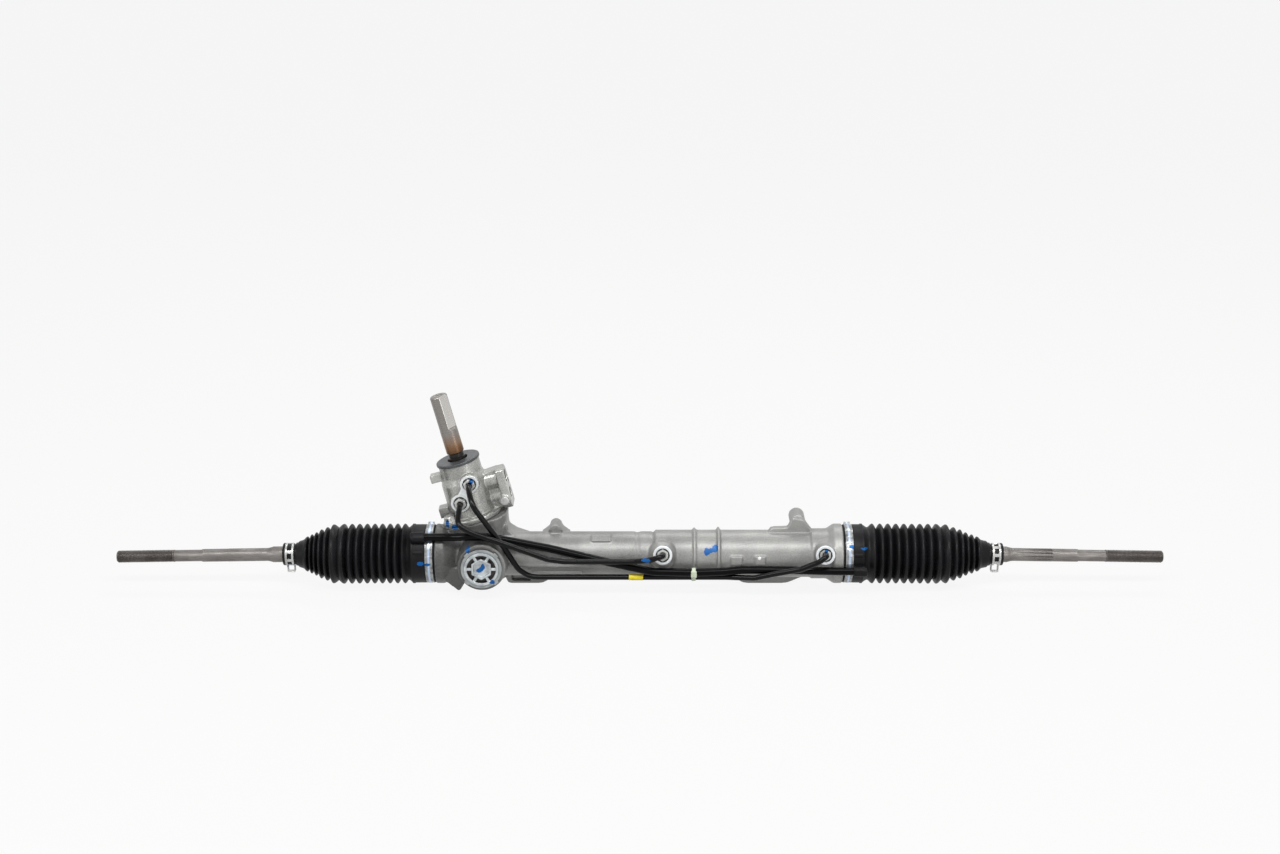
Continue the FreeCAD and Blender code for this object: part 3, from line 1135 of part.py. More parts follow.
def boot_profile(side):
    """Outer corners of a boot from the flange to the small cuff, as (distance, radius)."""
    sizes = BOOT_SIDES[side]
    band_end = BAND_START + BAND_WIDTH
    groove_r = BOOT_CUFF_R - BAND_THICK
    outer = [(BOOT_EDGE, BOOT_CUFF_R - 0.4), (BAND_START, BOOT_CUFF_R - 0.4), (BAND_START, groove_r),
             (band_end, groove_r), (band_end, BOOT_CUFF_R), (sizes["cuff"], BOOT_CUFF_R)]
    place = sizes["cuff"]
    previous = place
    for i in range(BIG_FOLDS):
        peak = sizes["first_peak"] + i * sizes["pitch"]
        outer.append(((previous + peak) / 2, BOOT_ROOT_R + (2.0 if i == 0 else 0)))
        outer.append((peak, BOOT_FOLD_R))
        previous = peak
    for step, radius in zip(sizes["small_pitches"], SMALL_FOLD_RADII):
        peak = previous + step
        outer.append(((previous + peak) / 2, radius - 3.6))
        outer.append((peak, radius))
        previous = peak
    outer.append((previous + 4.5, SMALL_FOLD_RADII[-1] - 4.5))
    outer.append((sizes["small_cuff"], BOOT_SMALL_CUFF_R + 1.6))
    outer.append((sizes["small_cuff"] + 1.5, BOOT_SMALL_CUFF_R))
    outer.append((sizes["small_cuff"] + SMALL_CUFF_LENGTH, BOOT_SMALL_CUFF_R))
    return outer


def make_boot(side):
    """Bellows with one wall all along, and the moulded elbow for the breather on its big cuff."""
    outer = boot_profile(side)
    grip = SPIGOT_R + SOFT_GAP
    cuff_end = BOOT_SIDES[side]["cuff"]
    inner = [(BOOT_EDGE, grip), (SPIGOT_LENGTH + 1, grip)]
    first_fold = next(i for i, p in enumerate(outer) if p[0] > cuff_end)
    for x, radius in outer[first_fold:-3]:
        inner.append((x, radius - BOOT_WALL))
    seat = ROD_COLLAR_R + SOFT_GAP
    inner.append((outer[-3][0] - 1, seat))
    inner.append((outer[-1][0], seat))
    bellows = turned_x(outer + inner[::-1])
    elbow, hole = breather_elbow(side)
    solid = fuse([bellows, elbow.cut(tube_core())]).cut(hole)
    return on_side(solid, side, flange_reach(side), boot_tilt())


def tube_core():
    return rod_x(-5, 60, SPIGOT_R + SOFT_GAP)


def breather_elbow(side):
    """Moulded elbow on the cuff, and the hole that takes the breather tube."""
    radius = BREATHER_CLEAR_R
    base = BAND_START + BAND_WIDTH
    length = ELBOW_LENGTH
    block = plate([(-7, 26), (-6, radius + 1, 4), (0, radius + 6.2, 4), (6, radius + 1, 4), (7, 26)], length)
    block = at(block, Vector(base, 0, 0), Rotation(Vector(1, 1, 1), 120))
    hole = rod(Vector(base - 1, 0, radius), Vector(1, 0, 0), length - 2, BREATHER_R + SOFT_GAP)
    turn = Rotation(Vector(1, 0, 0), side * (90.0 - math.degrees(BREATHER_ANGLES[side])))
    return at(block, Vector(), turn), at(hole, Vector(), turn)


def make_boot_band(side):
    """Crimped steel band in the groove of the big cuff, with its pinched ear on top."""
    inner = BOOT_CUFF_R - BAND_THICK + SEAT_GAP
    low, high = BAND_START + 0.1, BAND_START + BAND_WIDTH - 0.1
    band = tube_x(low, high, inner, BOOT_CUFF_R + 0.5)
    ear = box((low + 0.5, -3.5, BOOT_CUFF_R - 0.6), (high - 0.5, 3.5, BOOT_CUFF_R + 3.4))
    ear = at(ear, Vector(), Rotation(Vector(1, 0, 0), -150 * side))
    return on_side(fuse([band, ear]), side, flange_reach(side), boot_tilt())


def make_boot_clip(side):
    """Spring clip round the small cuff, with two tabs to squeeze."""
    start = BOOT_SIDES[side]["small_cuff"] + 4
    flange = flange_reach(side)
    along = flange + start - BALL_X
    inner = BOOT_SMALL_CUFF_R + 0.35
    ring = tube_x(along, along + CLIP_WIDTH, inner, inner + 1.2)
    tabs = []
    for y in (-4.2, 3.0):
        low, high = (along + 0.5, y, -inner - CLIP_TAB), (along + CLIP_WIDTH - 0.5, y + 1.2, -inner - 0.3)
        tabs.append(box(low, high))
    return on_side(fuse([ring] + tabs), side, BALL_X, ROD_DROOP)


# Pipes, hoses and their fittings

def port_point(x, reach):
    return Vector(x, 0, 0) + port_direction() * reach


def valve_port_point(index, front):
    along, across = VALVE_PORTS[index]
    return pinion_point(along, across, front)


def make_long_pipe():
    """From the upper valve port down past the yoke plug and along the bottom to the right port."""
    points = [
        valve_port_point(0, VALVE_PAD_V + 6), valve_port_point(0, VALVE_PAD_V - 14),
        Vector(-185.5, -45.5, 73), Vector(-172, -43.2, 53), Vector(-152, -39.3, 22),
        Vector(-137, -35, -5.5), Vector(-124, *LONG_PIPE_YZ),
        Vector(RIGHT_PORT_X - 110, *LONG_PIPE_YZ), Vector(RIGHT_PORT_X - 80, -37.5, -15.6),
        Vector(RIGHT_PORT_X - 56, -41.0, -9.0), Vector(RIGHT_PORT_X - 28, -44.0, -2.5),
        Vector(RIGHT_PORT_X - 8, -49.5, 8.5), port_point(RIGHT_PORT_X, PORT_FACE_R + 14),
        port_point(RIGHT_PORT_X, PORT_FACE_R - 9),
    ]
    return bent_tube(points, PIPE_R, PIPE_BEND_R)


def make_short_pipe():
    """From the lower valve port across the front to the middle port."""
    points = [
        valve_port_point(1, VALVE_PAD_V + 6), valve_port_point(1, VALVE_PAD_V - 12),
        Vector(-203, -45, 51), Vector(-187, -47.8, 42.5), Vector(-157, -48.3, 31.5),
        Vector(-103, -42.8, 8.8), Vector(-85, *SHORT_PIPE_YZ),
        Vector(-8, *SHORT_PIPE_YZ), Vector(12, -45, 9), port_point(CYLINDER_PORTS[0][0], PORT_FACE_R + 13),
        port_point(CYLINDER_PORTS[0][0], PORT_FACE_R - 9),
    ]
    return bent_tube(points, PIPE_R, PIPE_BEND_R)


def elbow_point(side, distance):
    angle = BREATHER_ANGLES[side]
    height = BREATHER_CLEAR_R * math.sin(angle)
    return Vector(side * (flange_reach(side) + distance), -BREATHER_CLEAR_R * math.cos(angle), height)


def make_breather_tube():
    """Air line that joins the two boots, behind the pressure pipes."""
    inside = BAND_START + BAND_WIDTH + ELBOW_LENGTH - 4
    points = [
        elbow_point(-1, inside), elbow_point(-1, -14), Vector(-191, -35.2, 33.2), Vector(-171, -35.2, 33.2),
        Vector(-154, -30.2, 28.0), Vector(-102, -27.8, 16.5), Vector(-45, -31, 3.2), Vector(14, -35.3, -8.8),
        Vector(CABLE_TIE_X, *BREATHER_AT_TIE), Vector(92, -34.4, -9.2), Vector(114, -31.6, -8.0),
        Vector(RIGHT_FLANGE_X - 49, -31.2, -8.8), Vector(RIGHT_FLANGE_X - 26, -36.0, -7.6),
        elbow_point(1, -8), elbow_point(1, inside),
    ]
    return bent_tube(points, BREATHER_R, 60.0)


def pipe_nut():
    """Flare nut: hexagon head with a threaded nose, bored for the pipe, outward from the recess floor."""
    head = plate(hexagon(PORT_NUT_FLATS), PORT_RECESS_DEPTH + 1.0)
    thread = rod(Vector(0, 0, -PORT_NOSE), Vector(0, 0, 1), PORT_NOSE, PORT_THREAD_R - SEAT_GAP)
    return fuse([head, thread]).cut(rod(Vector(0, 0, -PORT_NOSE - 1), Vector(0, 0, 1), 60, PIPE_R + SEAT_GAP))


def make_valve_pipe_nuts():
    floor = VALVE_PAD_V + VALVE_RECESS_DEPTH
    front = towards(Vector(0, -1, 0))
    nuts = [at(pipe_nut(), Vector(across, floor, along), front) for along, across in VALVE_PORTS]
    return on_pinion(compound(nuts))


def make_cylinder_pipe_nuts():
    floor = PORT_FACE_R - PORT_RECESS_DEPTH
    outward = towards(port_direction())
    return compound([at(pipe_nut(), port_point(x, floor), outward) for x, base in CYLINDER_PORTS])


def make_port_seats():
    """Small tapered seats that the flared pipes press against, at the bottom of each port."""
    seats = []
    seat = tube(0, PORT_SEAT_THICK, PORT_SEAT_BORE_R, PORT_THREAD_R - SEAT_GAP)
    for x, base in CYLINDER_PORTS:
        seats.append(at(seat, port_point(x, PORT_SEAT_R), towards(port_direction())))
    return compound(seats)


def make_cable_tie():
    """Strap round the breather and the long pipe, with its square head."""
    x = CABLE_TIE_X
    pipe, breather = Vector(x, *LONG_PIPE_YZ), Vector(x, *BREATHER_AT_TIE)
    outer, inner = [strap_loop(pipe, breather, grow) for grow in (1.2, SOFT_GAP)]
    loop = outer.cut(inner)
    head = box((x - 3.2, -43.6, -12.6), (x + 3.2, -39.6, -6.4))
    return loop.fuse(head.cut(inner)).removeSplitter()


def strap_loop(first, second, grow):
    """Solid hull of two circles in a plane across X, grown by a thickness."""
    r1, r2 = PIPE_R + grow, BREATHER_R + grow
    width = Vector(CABLE_TIE_WIDTH, 0, 0)
    start = Vector(-CABLE_TIE_WIDTH / 2, 0, 0)
    discs = [rod(p + start, Vector(1, 0, 0), CABLE_TIE_WIDTH, r) for p, r in ((first, r1), (second, r2))]
    along = second - first
    distance = along.Length
    along.normalize()
    across = Vector(1, 0, 0).cross(along)
    lean = math.asin((r2 - r1) / distance)
    corners = []
    for s in (1, -1):
        normal = across * (s * math.cos(lean)) - along * math.sin(lean)
        corners.append((first + normal * r1 + start, second + normal * r2 + start))
    (a, b), (d, c) = corners
    band = Part.Face(Part.makePolygon([a, b, c, d, a])).extrude(width)
    return fuse(discs + [band])


def make_marker_sleeve():
    sleeve = tube_x(0, MARKER_LENGTH, PIPE_R + SEAT_GAP, PIPE_R + 0.5)
    return at(sleeve, Vector(MARKER_X, *LONG_PIPE_YZ))


# Writing the pieces

def all_pieces():
    pieces = {
        "rack_housing": make_rack_housing(),
        "valve_housing": make_valve_housing(),
        "valve_housing_bolts": make_valve_housing_bolts(),
        "passage_plug": make_passage_plug(),
        "dust_cover": make_dust_cover(),
        "input_seal": make_input_seal(),
        "input_bearing": make_input_bearing(),
        "pinion_upper_bearing": make_pinion_upper_bearing(),
        "pinion_seal": make_pinion_seal(),
        "lower_bearing_outer": make_lower_bearing_outer(),
        "lower_bearing_inner": make_lower_bearing_inner(),
        "lower_bearing_balls": make_lower_bearing_balls(),
        "pinion_end_cap": make_pinion_end_cap(),
        "support_yoke": make_support_yoke(),
        "yoke_liner": make_yoke_liner(),
        "yoke_spring": make_yoke_spring(),
        "yoke_o_ring": make_yoke_o_ring(),
        "adjuster_plug": make_adjuster_plug(),
        "plug_lock_ring": make_plug_lock_ring(),
        "inner_cylinder_seal": make_inner_cylinder_seal(),
        "end_bush": make_end_bush(),
        "end_bush_seal": make_end_bush_seal(),
        "end_bush_o_ring": make_end_bush_o_ring(),
        "bush_snap_ring": make_bush_snap_ring(),
        "piston": make_piston(),
        "piston_ring": make_piston_ring(),
        "rack_bar": make_rack_bar(),
        "pinion": make_pinion(),
        "pinion_nut": make_pinion_nut(),
        "valve_sleeve": make_valve_sleeve(),
        "sleeve_rings": make_sleeve_rings(),
        "input_shaft": make_input_shaft(),
        "torsion_bar": make_torsion_bar(),
        "torsion_bar_pin": make_torsion_bar_pin(),
        "long_pipe": make_long_pipe(),
        "short_pipe": make_short_pipe(),
        "breather_tube": make_breather_tube(),
        "valve_pipe_nuts": make_valve_pipe_nuts(),
        "cylinder_pipe_nuts": make_cylinder_pipe_nuts(),
        "cylinder_port_seats": make_port_seats(),
        "cable_tie": make_cable_tie(),
        "marker_sleeve": make_marker_sleeve(),
    }
    for name, side in (("left", -1), ("right", 1)):
        pieces[name + "_ball_socket"] = make_ball_socket(side)
        pieces[name + "_ball_race"] = make_ball_race(side)
        pieces[name + "_tie_rod"] = make_tie_rod(side)
        pieces[name + "_boot"] = make_boot(side)
        pieces[name + "_boot_band"] = make_boot_band(side)
        pieces[name + "_boot_clip"] = make_boot_clip(side)
    return pieces


def write_pieces():
    origin = Vector(sum(FOOT_BOLTS_X) / 2, FOOT_BOLT_Y, FOOT_Z)
    os.makedirs("parts", exist_ok=True)
    for name, shape in all_pieces().items():
        moved = at(shape, origin * -1)
        moved.exportStep("parts/" + name + ".step")
        print(name, "solids", len(moved.Solids), "valid", moved.isValid(), "mm3", round(moved.Volume, 1))


write_pieces()
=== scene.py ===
import functools
import math

import bmesh
import bpy
import numpy as np
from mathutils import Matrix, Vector


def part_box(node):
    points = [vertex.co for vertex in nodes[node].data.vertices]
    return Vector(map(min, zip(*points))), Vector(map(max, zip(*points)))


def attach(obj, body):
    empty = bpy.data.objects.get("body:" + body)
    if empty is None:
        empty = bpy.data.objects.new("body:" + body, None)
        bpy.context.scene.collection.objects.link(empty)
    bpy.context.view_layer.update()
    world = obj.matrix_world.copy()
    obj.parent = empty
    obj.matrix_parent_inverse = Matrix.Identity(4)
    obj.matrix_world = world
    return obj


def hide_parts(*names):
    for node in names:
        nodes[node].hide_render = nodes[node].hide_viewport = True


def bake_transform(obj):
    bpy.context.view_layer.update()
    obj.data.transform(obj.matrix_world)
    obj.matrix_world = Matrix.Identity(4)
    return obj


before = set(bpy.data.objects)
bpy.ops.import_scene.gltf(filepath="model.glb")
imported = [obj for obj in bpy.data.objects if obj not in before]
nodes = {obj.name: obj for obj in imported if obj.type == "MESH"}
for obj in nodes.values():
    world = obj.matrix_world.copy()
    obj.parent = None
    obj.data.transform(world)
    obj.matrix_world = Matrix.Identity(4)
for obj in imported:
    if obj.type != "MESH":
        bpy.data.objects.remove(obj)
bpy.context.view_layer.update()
print("frame loaded,", len(nodes), "nodes")

# Everything is laid out in millimetres about the middle of the rack bar, then moved to the part's origin
# between its two mounting bolts: X along the bar, Y away from the front, Z up.
barOffset = np.array([9.6, 38.0, -40.0])
pinionLean = math.radians(15.0)
pinionFoot = np.array([-177.0, 15.942, 0.0])
pinionAxis = np.array([-math.sin(pinionLean), 0.0, math.cos(pinionLean)])
pinionAcross = np.array([math.cos(pinionLean), 0.0, math.sin(pinionLean)])
towardsBack = np.array([0.0, 1.0, 0.0])


def placed(points):
    # bar millimetres to the part's metres
    return (np.asarray(points, float) - barOffset) / 1000.0


def onPinion(across, front, along):
    # a point from its distances across, front to back and along the pinion axis
    return pinionFoot + across * pinionAcross + front * towardsBack + along * pinionAxis


# Camera: the bar lies across the view, seen from 17.5 degrees above
camera = {"elevation": 17.5, "distance": 2345.0, "rise": 143.6, "lens": 57.97}


def setCamera():
    tilt = math.radians(camera["elevation"])
    forward = np.array([0.0, math.cos(tilt), -math.sin(tilt)])
    upward = np.array([0.0, math.sin(tilt), math.cos(tilt)])
    data = bpy.data.cameras.new("camera")
    data.lens = camera["lens"]
    data.sensor_width = 36.0
    data.clip_end = 100.0
    seat = bpy.data.objects.new("camera", data)
    seat.location = placed(upward * camera["rise"] - forward * camera["distance"])
    seat.rotation_euler = (math.pi / 2 - tilt, 0.0, 0.0)
    bpy.context.scene.collection.objects.link(seat)
    bpy.context.scene.camera = seat


setCamera()
print("camera set")


# Small tools for node materials

def linear(code):
    # sRGB hex to a linear colour: c/12.92 below 0.04045, else ((c + 0.055) / 1.055) to the 2.4
    values = [int(code[i:i + 2], 16) / 255 for i in (1, 3, 5)]
    return [v / 12.92 if v <= 0.04045 else ((v + 0.055) / 1.055) ** 2.4 for v in values] + [1.0]


def feed(node, inputs):
    # each input gets the output that feeds it, a colour in hex or a plain value, and None leaves it as it is
    for name, value in inputs.items():
        if isinstance(value, bpy.types.NodeSocket):
            node.id_data.links.new(value, node.inputs[name])
        elif value is not None:
            node.inputs[name].default_value = linear(value) if isinstance(value, str) else value


# each kind's type and fixed settings, its inputs in the order in which they are given with their usual
# values,
# and the output that is used; a noise's scale is 1000 over the size of its blotches in millimetres
nodeKinds = {
    "noise": ("ShaderNodeTexNoise", {}, {"Vector": None, "Scale": None, "Detail": 3.0, "Roughness": 0.55},
              "Fac"),
    "marks": ("ShaderNodeTexNoise", {}, {"Vector": None, "Scale": None, "Detail": 2.0}, "Fac"),
    "rings": ("ShaderNodeTexNoise", {"noise_dimensions": "1D"}, {"W": None, "Scale": None, "Detail": 2.0},
              "Fac"),
    "range": ("ShaderNodeMapRange", {}, {"Value": None, "From Min": None, "From Max": None, "To Min": 0.0,
                                         "To Max": 1.0}, "Result"),
    "mix": ("ShaderNodeMix", {"data_type": "RGBA"}, {0: None, 6: None, 7: None}, 2),
    "math": ("ShaderNodeMath", {}, {0: None, 1: None, 2: None}, 0),
    "vectorMath": ("ShaderNodeVectorMath", {}, {0: None, 1: None}, "Vector"),
    "measure": ("ShaderNodeVectorMath", {}, {0: None, 1: None}, "Value"),
    "stretch": ("ShaderNodeMapping", {}, {"Vector": None, "Scale": None}, 0),
    "split": ("ShaderNodeSeparateXYZ", {}, {"Vector": None}, "X"),
    "bump": ("ShaderNodeBump", {}, {"Height": None, "Distance": None, "Strength": None, "Normal": None},
             "Normal"),
    "place": ("ShaderNodeTexCoord", {}, {}, "Object"),
    "curve": ("ShaderNodeNewGeometry", {}, {}, "Pointiness"),
    "rays": ("ShaderNodeLightPath", {}, {}, 0),
    "glow": ("ShaderNodeEmission", {}, {"Color": None, "Strength": None}, 0),
    "mixShader": ("ShaderNodeMixShader", {}, {0: None, 1: None, 2: None}, 0),
}


def addNode(tree, kind, *inputs, **settings):
    # one node with its settings and links, given back as the output that is used
    typeName, fixed, sockets, output = nodeKinds[kind]
    node = tree.nodes.new(typeName)
    for name, value in {**fixed, **settings}.items():
        setattr(node, name, value)
    feed(node, {**sockets, **dict(zip(sockets, inputs))})
    return node.outputs[output]


def startMaterial(name, shaderInputs):
    material = bpy.data.materials.new(name)
    material.use_nodes = True
    shader = material.node_tree.nodes["Principled BSDF"]
    feed(shader, shaderInputs)
    add = functools.partial(addNode, material.node_tree)
    return material, add, shader, add("place")


# inspection paint, and where it lies: each dab's middle in bar millimetres with its half sizes
paint = {"blue": "#0C5596", "white": "#E9E9E4", "roughness": 0.42}
dabs = {
    "casting": [((-192.0, -44.0, 21.7), (2.4, 8.0, 4.6)), ((75.5, -24.5, 11.2), (3.4, 5.0, 4.6)),
                ((84.5, -23.0, 14.6), (3.8, 5.0, 4.6)), ((80.0, -24.0, 12.6), (3.4, 5.0, 2.8)),
                ((-217.0, -4.0, 37.5), (2.2, 10.0, 3.2)), ((-209.0, -12.0, 35.0), (3.4, 12.0, 2.8))],
    "whiteDot": [((134.4, -27.9, 4.6), (1.9, 3.0, 1.9))],
    "spring": [((-400.5, -3.0, -13.5), (1.8, 8.0, 3.0)), ((-395.0, -3.0, -12.3), (4.2, 8.0, 1.6))],
    "plug": [((-179.6, -48.0, -3.0), (3.3, 12.0, 2.7)), ((-177.4, -48.0, -1.0), (2.8, 12.0, 3.0)),
             ((-175.4, -48.0, 1.4), (2.5, 12.0, 3.6)), ((-165.0, -49.0, -15.1), (2.9, 9.0, 3.0))],
    "bolts": [((-217.0, -4.0, 39.5), (2.4, 10.0, 3.4)), ((-188.4, -18.0, 92.2), (2.4, 8.0, 3.0)),
              ((208.8, -36.0, 15.6), (2.2, 6.0, 2.4))],
    "cuffs": [((-246.5, -33.2, -0.2), (3.8, 4.0, 2.4)), ((252.3, -28.9, 16.4), (4.4, 4.0, 1.6))],
    "bands": [((238.5, -28.0, 18.4), (4.4, 4.5, 2.0)), ((-239.0, -33.4, -1.2), (3.6, 4.0, 1.8))],
    "shortPipe": [((7.0, -45.0, 9.0), (5.5, 6.0, 2.0))],
}


def dabMask(add, where, spots):
    # 1 inside any of the spots, with a ragged edge
    ragged = add("range", add("noise", where, 1000 / 2.2), 0.3, 0.7, -0.22, 0.22)
    mask = None
    for centre, halves in spots:
        shifted = add("vectorMath", where, placed(centre), operation="SUBTRACT")
        scaled = add("vectorMath", shifted, [1000.0 / h for h in halves], operation="MULTIPLY")
        away = add("math", add("measure", scaled, operation="LENGTH"), ragged, operation="ADD")
        inside = add("range", away, 0.92, 1.02, 1.0, 0.0)
        mask = inside if mask is None else add("math", mask, inside, operation="MAXIMUM")
    return mask


def coat(add, shader, where, colour, roughness, painted=None, underPaint=0.4):
    # colour and roughness of the skin; brushed-on blue lacquer covers both, and makes the bare skin's even
    if painted:
        mask = dabMask(add, where, dabs[painted])
        colour = add("mix", mask, colour, paint["blue"])
        roughness = add("range", mask, 0.0, 1.0, underPaint, paint["roughness"])
    feed(shader, {"Base Color": colour, "Roughness": roughness})


# Finishes

inputShaft = {
    "radius": 10.0, "endRadius": 9.8, "top": 189.0, "neck": (115.0, 121.0), "neckRadius": 8.4,
    "flatDepth": 2.0, "flatBottom": 151.0, "flatTurn": math.radians(-45.0), "bore": 4.3, "pinFromTop": 6.0,
}

# painted shade at the pinion end of the casting, painted light at its cylinder end: where each starts
# and ends along the bar, its shares there, and its colour; the clouds make its edge waver by 30 mm
paintedShadeAndLight = {"waver": 0.030, "ends": [
    ((-196.0, -146.0), (0.84, 0.0), "#1F1F20"), ((0.0, 70.0), (0.0, 0.10), "#E9E8E4")]}


def castAluminium(name, dark, pale, polish, smooth, paintedTones=()):
    # sand-cast aluminium alloy as poured and shot-blasted: satin, finely pitted, cloudy grey with a
    # metallic sheen
    material, add, shader, where = startMaterial(name, {"Metallic": polish})
    clouds = add("noise", where, 1000 / 34.0, 4.0)
    # real grit is about 0.3 mm, drawn coarser so that it shows
    sand = add("noise", where, 1000 / 1.0, 2.0, 0.8)
    patches = add("noise", where, 1000 / 3.2, 3.0, 0.6)
    base = add("mix", add("range", clouds, 0.36, 0.66), dark, pale)
    # painted shade darkens the pinion end and painted light brightens the cylinder end
    for stretch, shares, colour in paintedTones:
        wavy = add("math", clouds, paintedShadeAndLight["waver"], add("split", where), operation="MULTIPLY_ADD")
        start, end = [placed((x, 0, 0))[0] + paintedShadeAndLight["waver"] / 2 for x in stretch]
        base = add("mix", add("range", wavy, start, end, *shares), base, colour)
    shaded = add("mix", 0.20, base, "#2E2E2E")
    lifted = add("mix", 0.13, base, "#D6D6D2")
    gritty = add("mix", add("range", sand, 0.34, 0.62), shaded, lifted)
    mottled = add("mix", add("range", patches, 0.56, 0.74, 0.0, 0.45), gritty, shaded)
    curve = add("curve")
    # painted shade: the hollows are darkened towards near black
    hollowsShaded = add("mix", add("range", curve, 0.42, 0.49, 0.7, 0.0), mottled, "#242322")
    # convex edges are made paler
    paleEdges = add("mix", add("range", curve, 0.53, 0.60, 0.0, 0.30), hollowsShaded, "#D9D9D6")
    lumps = add("bump", patches, 0.20e-3, 0.5)
    blue = add("mix", dabMask(add, where, dabs["casting"]), paleEdges, paint["blue"])
    feed(shader, {"Base Color": add("mix", dabMask(add, where, dabs["whiteDot"]), blue, paint["white"]),
                  "Roughness": add("range", sand, 0.3, 0.7, smooth - 0.07, smooth + 0.09),
                  "Normal": add("bump", sand, 0.10e-3, 0.8, lumps)})
    return material


def machinedAluminium():
    # milled face on the casting: bright, with fine cutter marks
    material, add, shader, where = startMaterial("milledAluminium", {"Metallic": 0.35})
    marks = add("marks", add("stretch", where, (1.0, 1.0, 14.0)), 700.0)
    feed(shader, {"Base Color": add("mix", add("range", marks, 0.3, 0.7), "#CBD0D2", "#E6E9EA"),
                  "Roughness": add("range", marks, 0.3, 0.7, 0.26, 0.42),
                  "Normal": add("bump", marks, 0.02e-3, 0.5)})
    return material


# pockets of the adjuster plug, which get painted shade, in metres: how far behind its face they start,
# the fade, and the hexagon's edge
plugPocket = {"behind": 0.0012, "fade": 0.0008, "edge": (0.0110, 0.0114)}


def plugPockets(add, where):
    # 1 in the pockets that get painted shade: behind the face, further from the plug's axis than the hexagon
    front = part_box("adjuster_plug")[0][1] + plugPocket["behind"]
    middle = placed((pinionFoot[0], 0.0, 0.0))
    apart = add("split", where).node.outputs
    shifts = [add("math", apart[name], middle[i], operation="SUBTRACT") for name, i in (("X", 0), ("Z", 2))]
    squares = [add("math", shift, shift, operation="MULTIPLY") for shift in shifts]
    away = add("math", add("math", *squares, operation="ADD"), operation="SQRT")
    deep = add("range", apart["Y"], front, front + plugPocket["fade"])
    return add("math", deep, add("range", away, *plugPocket["edge"]), operation="MULTIPLY")


def zincSteel(name="zincPlatedSteel", painted=None, dark="#A4A5A3", pale="#C6C7C4", pockets=False):
    # bright zinc plating: pale grey, slightly clouded, with a satin shine, and painted shade in hollows and
    # deep pockets
    material, add, shader, where = startMaterial(name, {"Metallic": 0.55})
    clouds = add("noise", where, 1000 / 7.0)
    base = add("mix", add("range", clouds, 0.35, 0.65), dark, pale)
    # painted shade: the hollows are darkened
    zincShaded = add("mix", add("range", add("curve"), 0.38, 0.48, 0.75, 0.0), base, "#2E2D2B")
    if pockets:
        # painted shade in the plug's pockets
        zincShaded = add("mix", plugPockets(add, where), zincShaded, "#454340")
    coat(add, shader, where, zincShaded, add("range", clouds, 0.3, 0.7, 0.30, 0.44), painted, 0.36)
    feed(shader, {"Normal": add("bump", add("noise", where, 1000 / 0.8, 2.0), 0.03e-3, 0.4)})
    return material


def groundSteel():
    # ground and hardened steel: bright grey with fine even specks
    material, add, shader, where = startMaterial("groundSteel", {"Metallic": 0.9})
    marks = add("noise", where, 1000 / 1.2, 2.0)
    colour = add("mix", marks, "#8E8C88", "#B4B2AE")
    coat(add, shader, where, colour, add("range", marks, 0.3, 0.7, 0.25, 0.4))
    return material


# tints that heat leaves on the input shaft above the seal, from the top down: where each fades out along the
# pinion axis in metres, and whether its edge wavers
shaftTints = [((0.134, 0.150), True, "#84654A"), ((0.124, 0.138), True, "#4E3120"),
              ((0.1206, 0.1216), False, "#34322F")]


def shaftSteel():
    # turned input shaft: fine rings, straw and brown tints, a ground flat with painted reflection,
    # and the cross pin's hole painted dark as painted shade
    material, add, shader, where = startMaterial("temperedShaftSteel", {"Metallic": 0.8})
    shifted = add("vectorMath", where, placed(pinionFoot), operation="SUBTRACT")
    along = add("measure", shifted, pinionAxis, operation="DOT_PRODUCT")
    wavy = add("math", add("noise", where, 1000 / 14.0), 0.010, along, operation="MULTIPLY_ADD")
    turned = add("rings", along, 1500.0)
    colour = add("mix", turned, "#76726E", "#918D89")
    for (start, end), wavers, tint in shaftTints:
        colour = add("mix", add("range", wavy if wavers else along, start, end, 1.0, 0.0), colour, tint)
    turn = inputShaft["flatTurn"]
    outward = math.cos(turn) * pinionAcross + math.sin(turn) * np.cross(pinionAxis, pinionAcross)
    reach = add("measure", shifted, outward, operation="DOT_PRODUCT")
    level = (inputShaft["radius"] - inputShaft["flatDepth"]) / 1000.0
    flat = add("math", add("range", reach, level - 0.00015, level - 0.00005),
               add("range", along, 0.1505, 0.1512), operation="MULTIPLY")
    # painted reflection: the flat is coloured paler
    flatPaintedPale = add("mix", flat, colour, add("mix", turned, "#B3B0AC", "#C8C6C2"))
    pin = inputShaft["top"] - inputShaft["pinFromTop"]
    # painted shade: dark spots stand in for the cross pin's holes
    pinHoleShade = dabMask(add, where, [
        (onPinion(side * inputShaft["endRadius"], 0.0, pin), (2.0, 1.6, 1.6)) for side in (-1, 1)])
    feed(shader, {"Base Color": add("mix", pinHoleShade, flatPaintedPale, "#121110"),
                  "Roughness": add("range", turned, 0.3, 0.7, 0.26, 0.40),
                  "Normal": add("bump", turned, 0.02e-3, 0.4)})
    return material


def rodSteel(name, dark, pale):
    # drawn or forged steel with a thin phosphate film: warm grey, dull, streaked along the bar
    material, add, shader, where = startMaterial(name, {"Metallic": 0.55})
    streaks = add("noise", add("stretch", where, (0.12, 1.0, 1.0)), 1000 / 1.6)
    base = add("mix", add("range", add("noise", where, 1000 / 22.0), 0.35, 0.65), dark, pale)
    colour = add("mix", add("range", streaks, 0.45, 0.75), base, add("mix", 0.35, base, "#3A3632"))
    coat(add, shader, where, colour, add("range", streaks, 0.3, 0.7, 0.34, 0.46))
    feed(shader, {"Normal": add("bump", streaks, 0.04e-3, 0.5)})
    return material


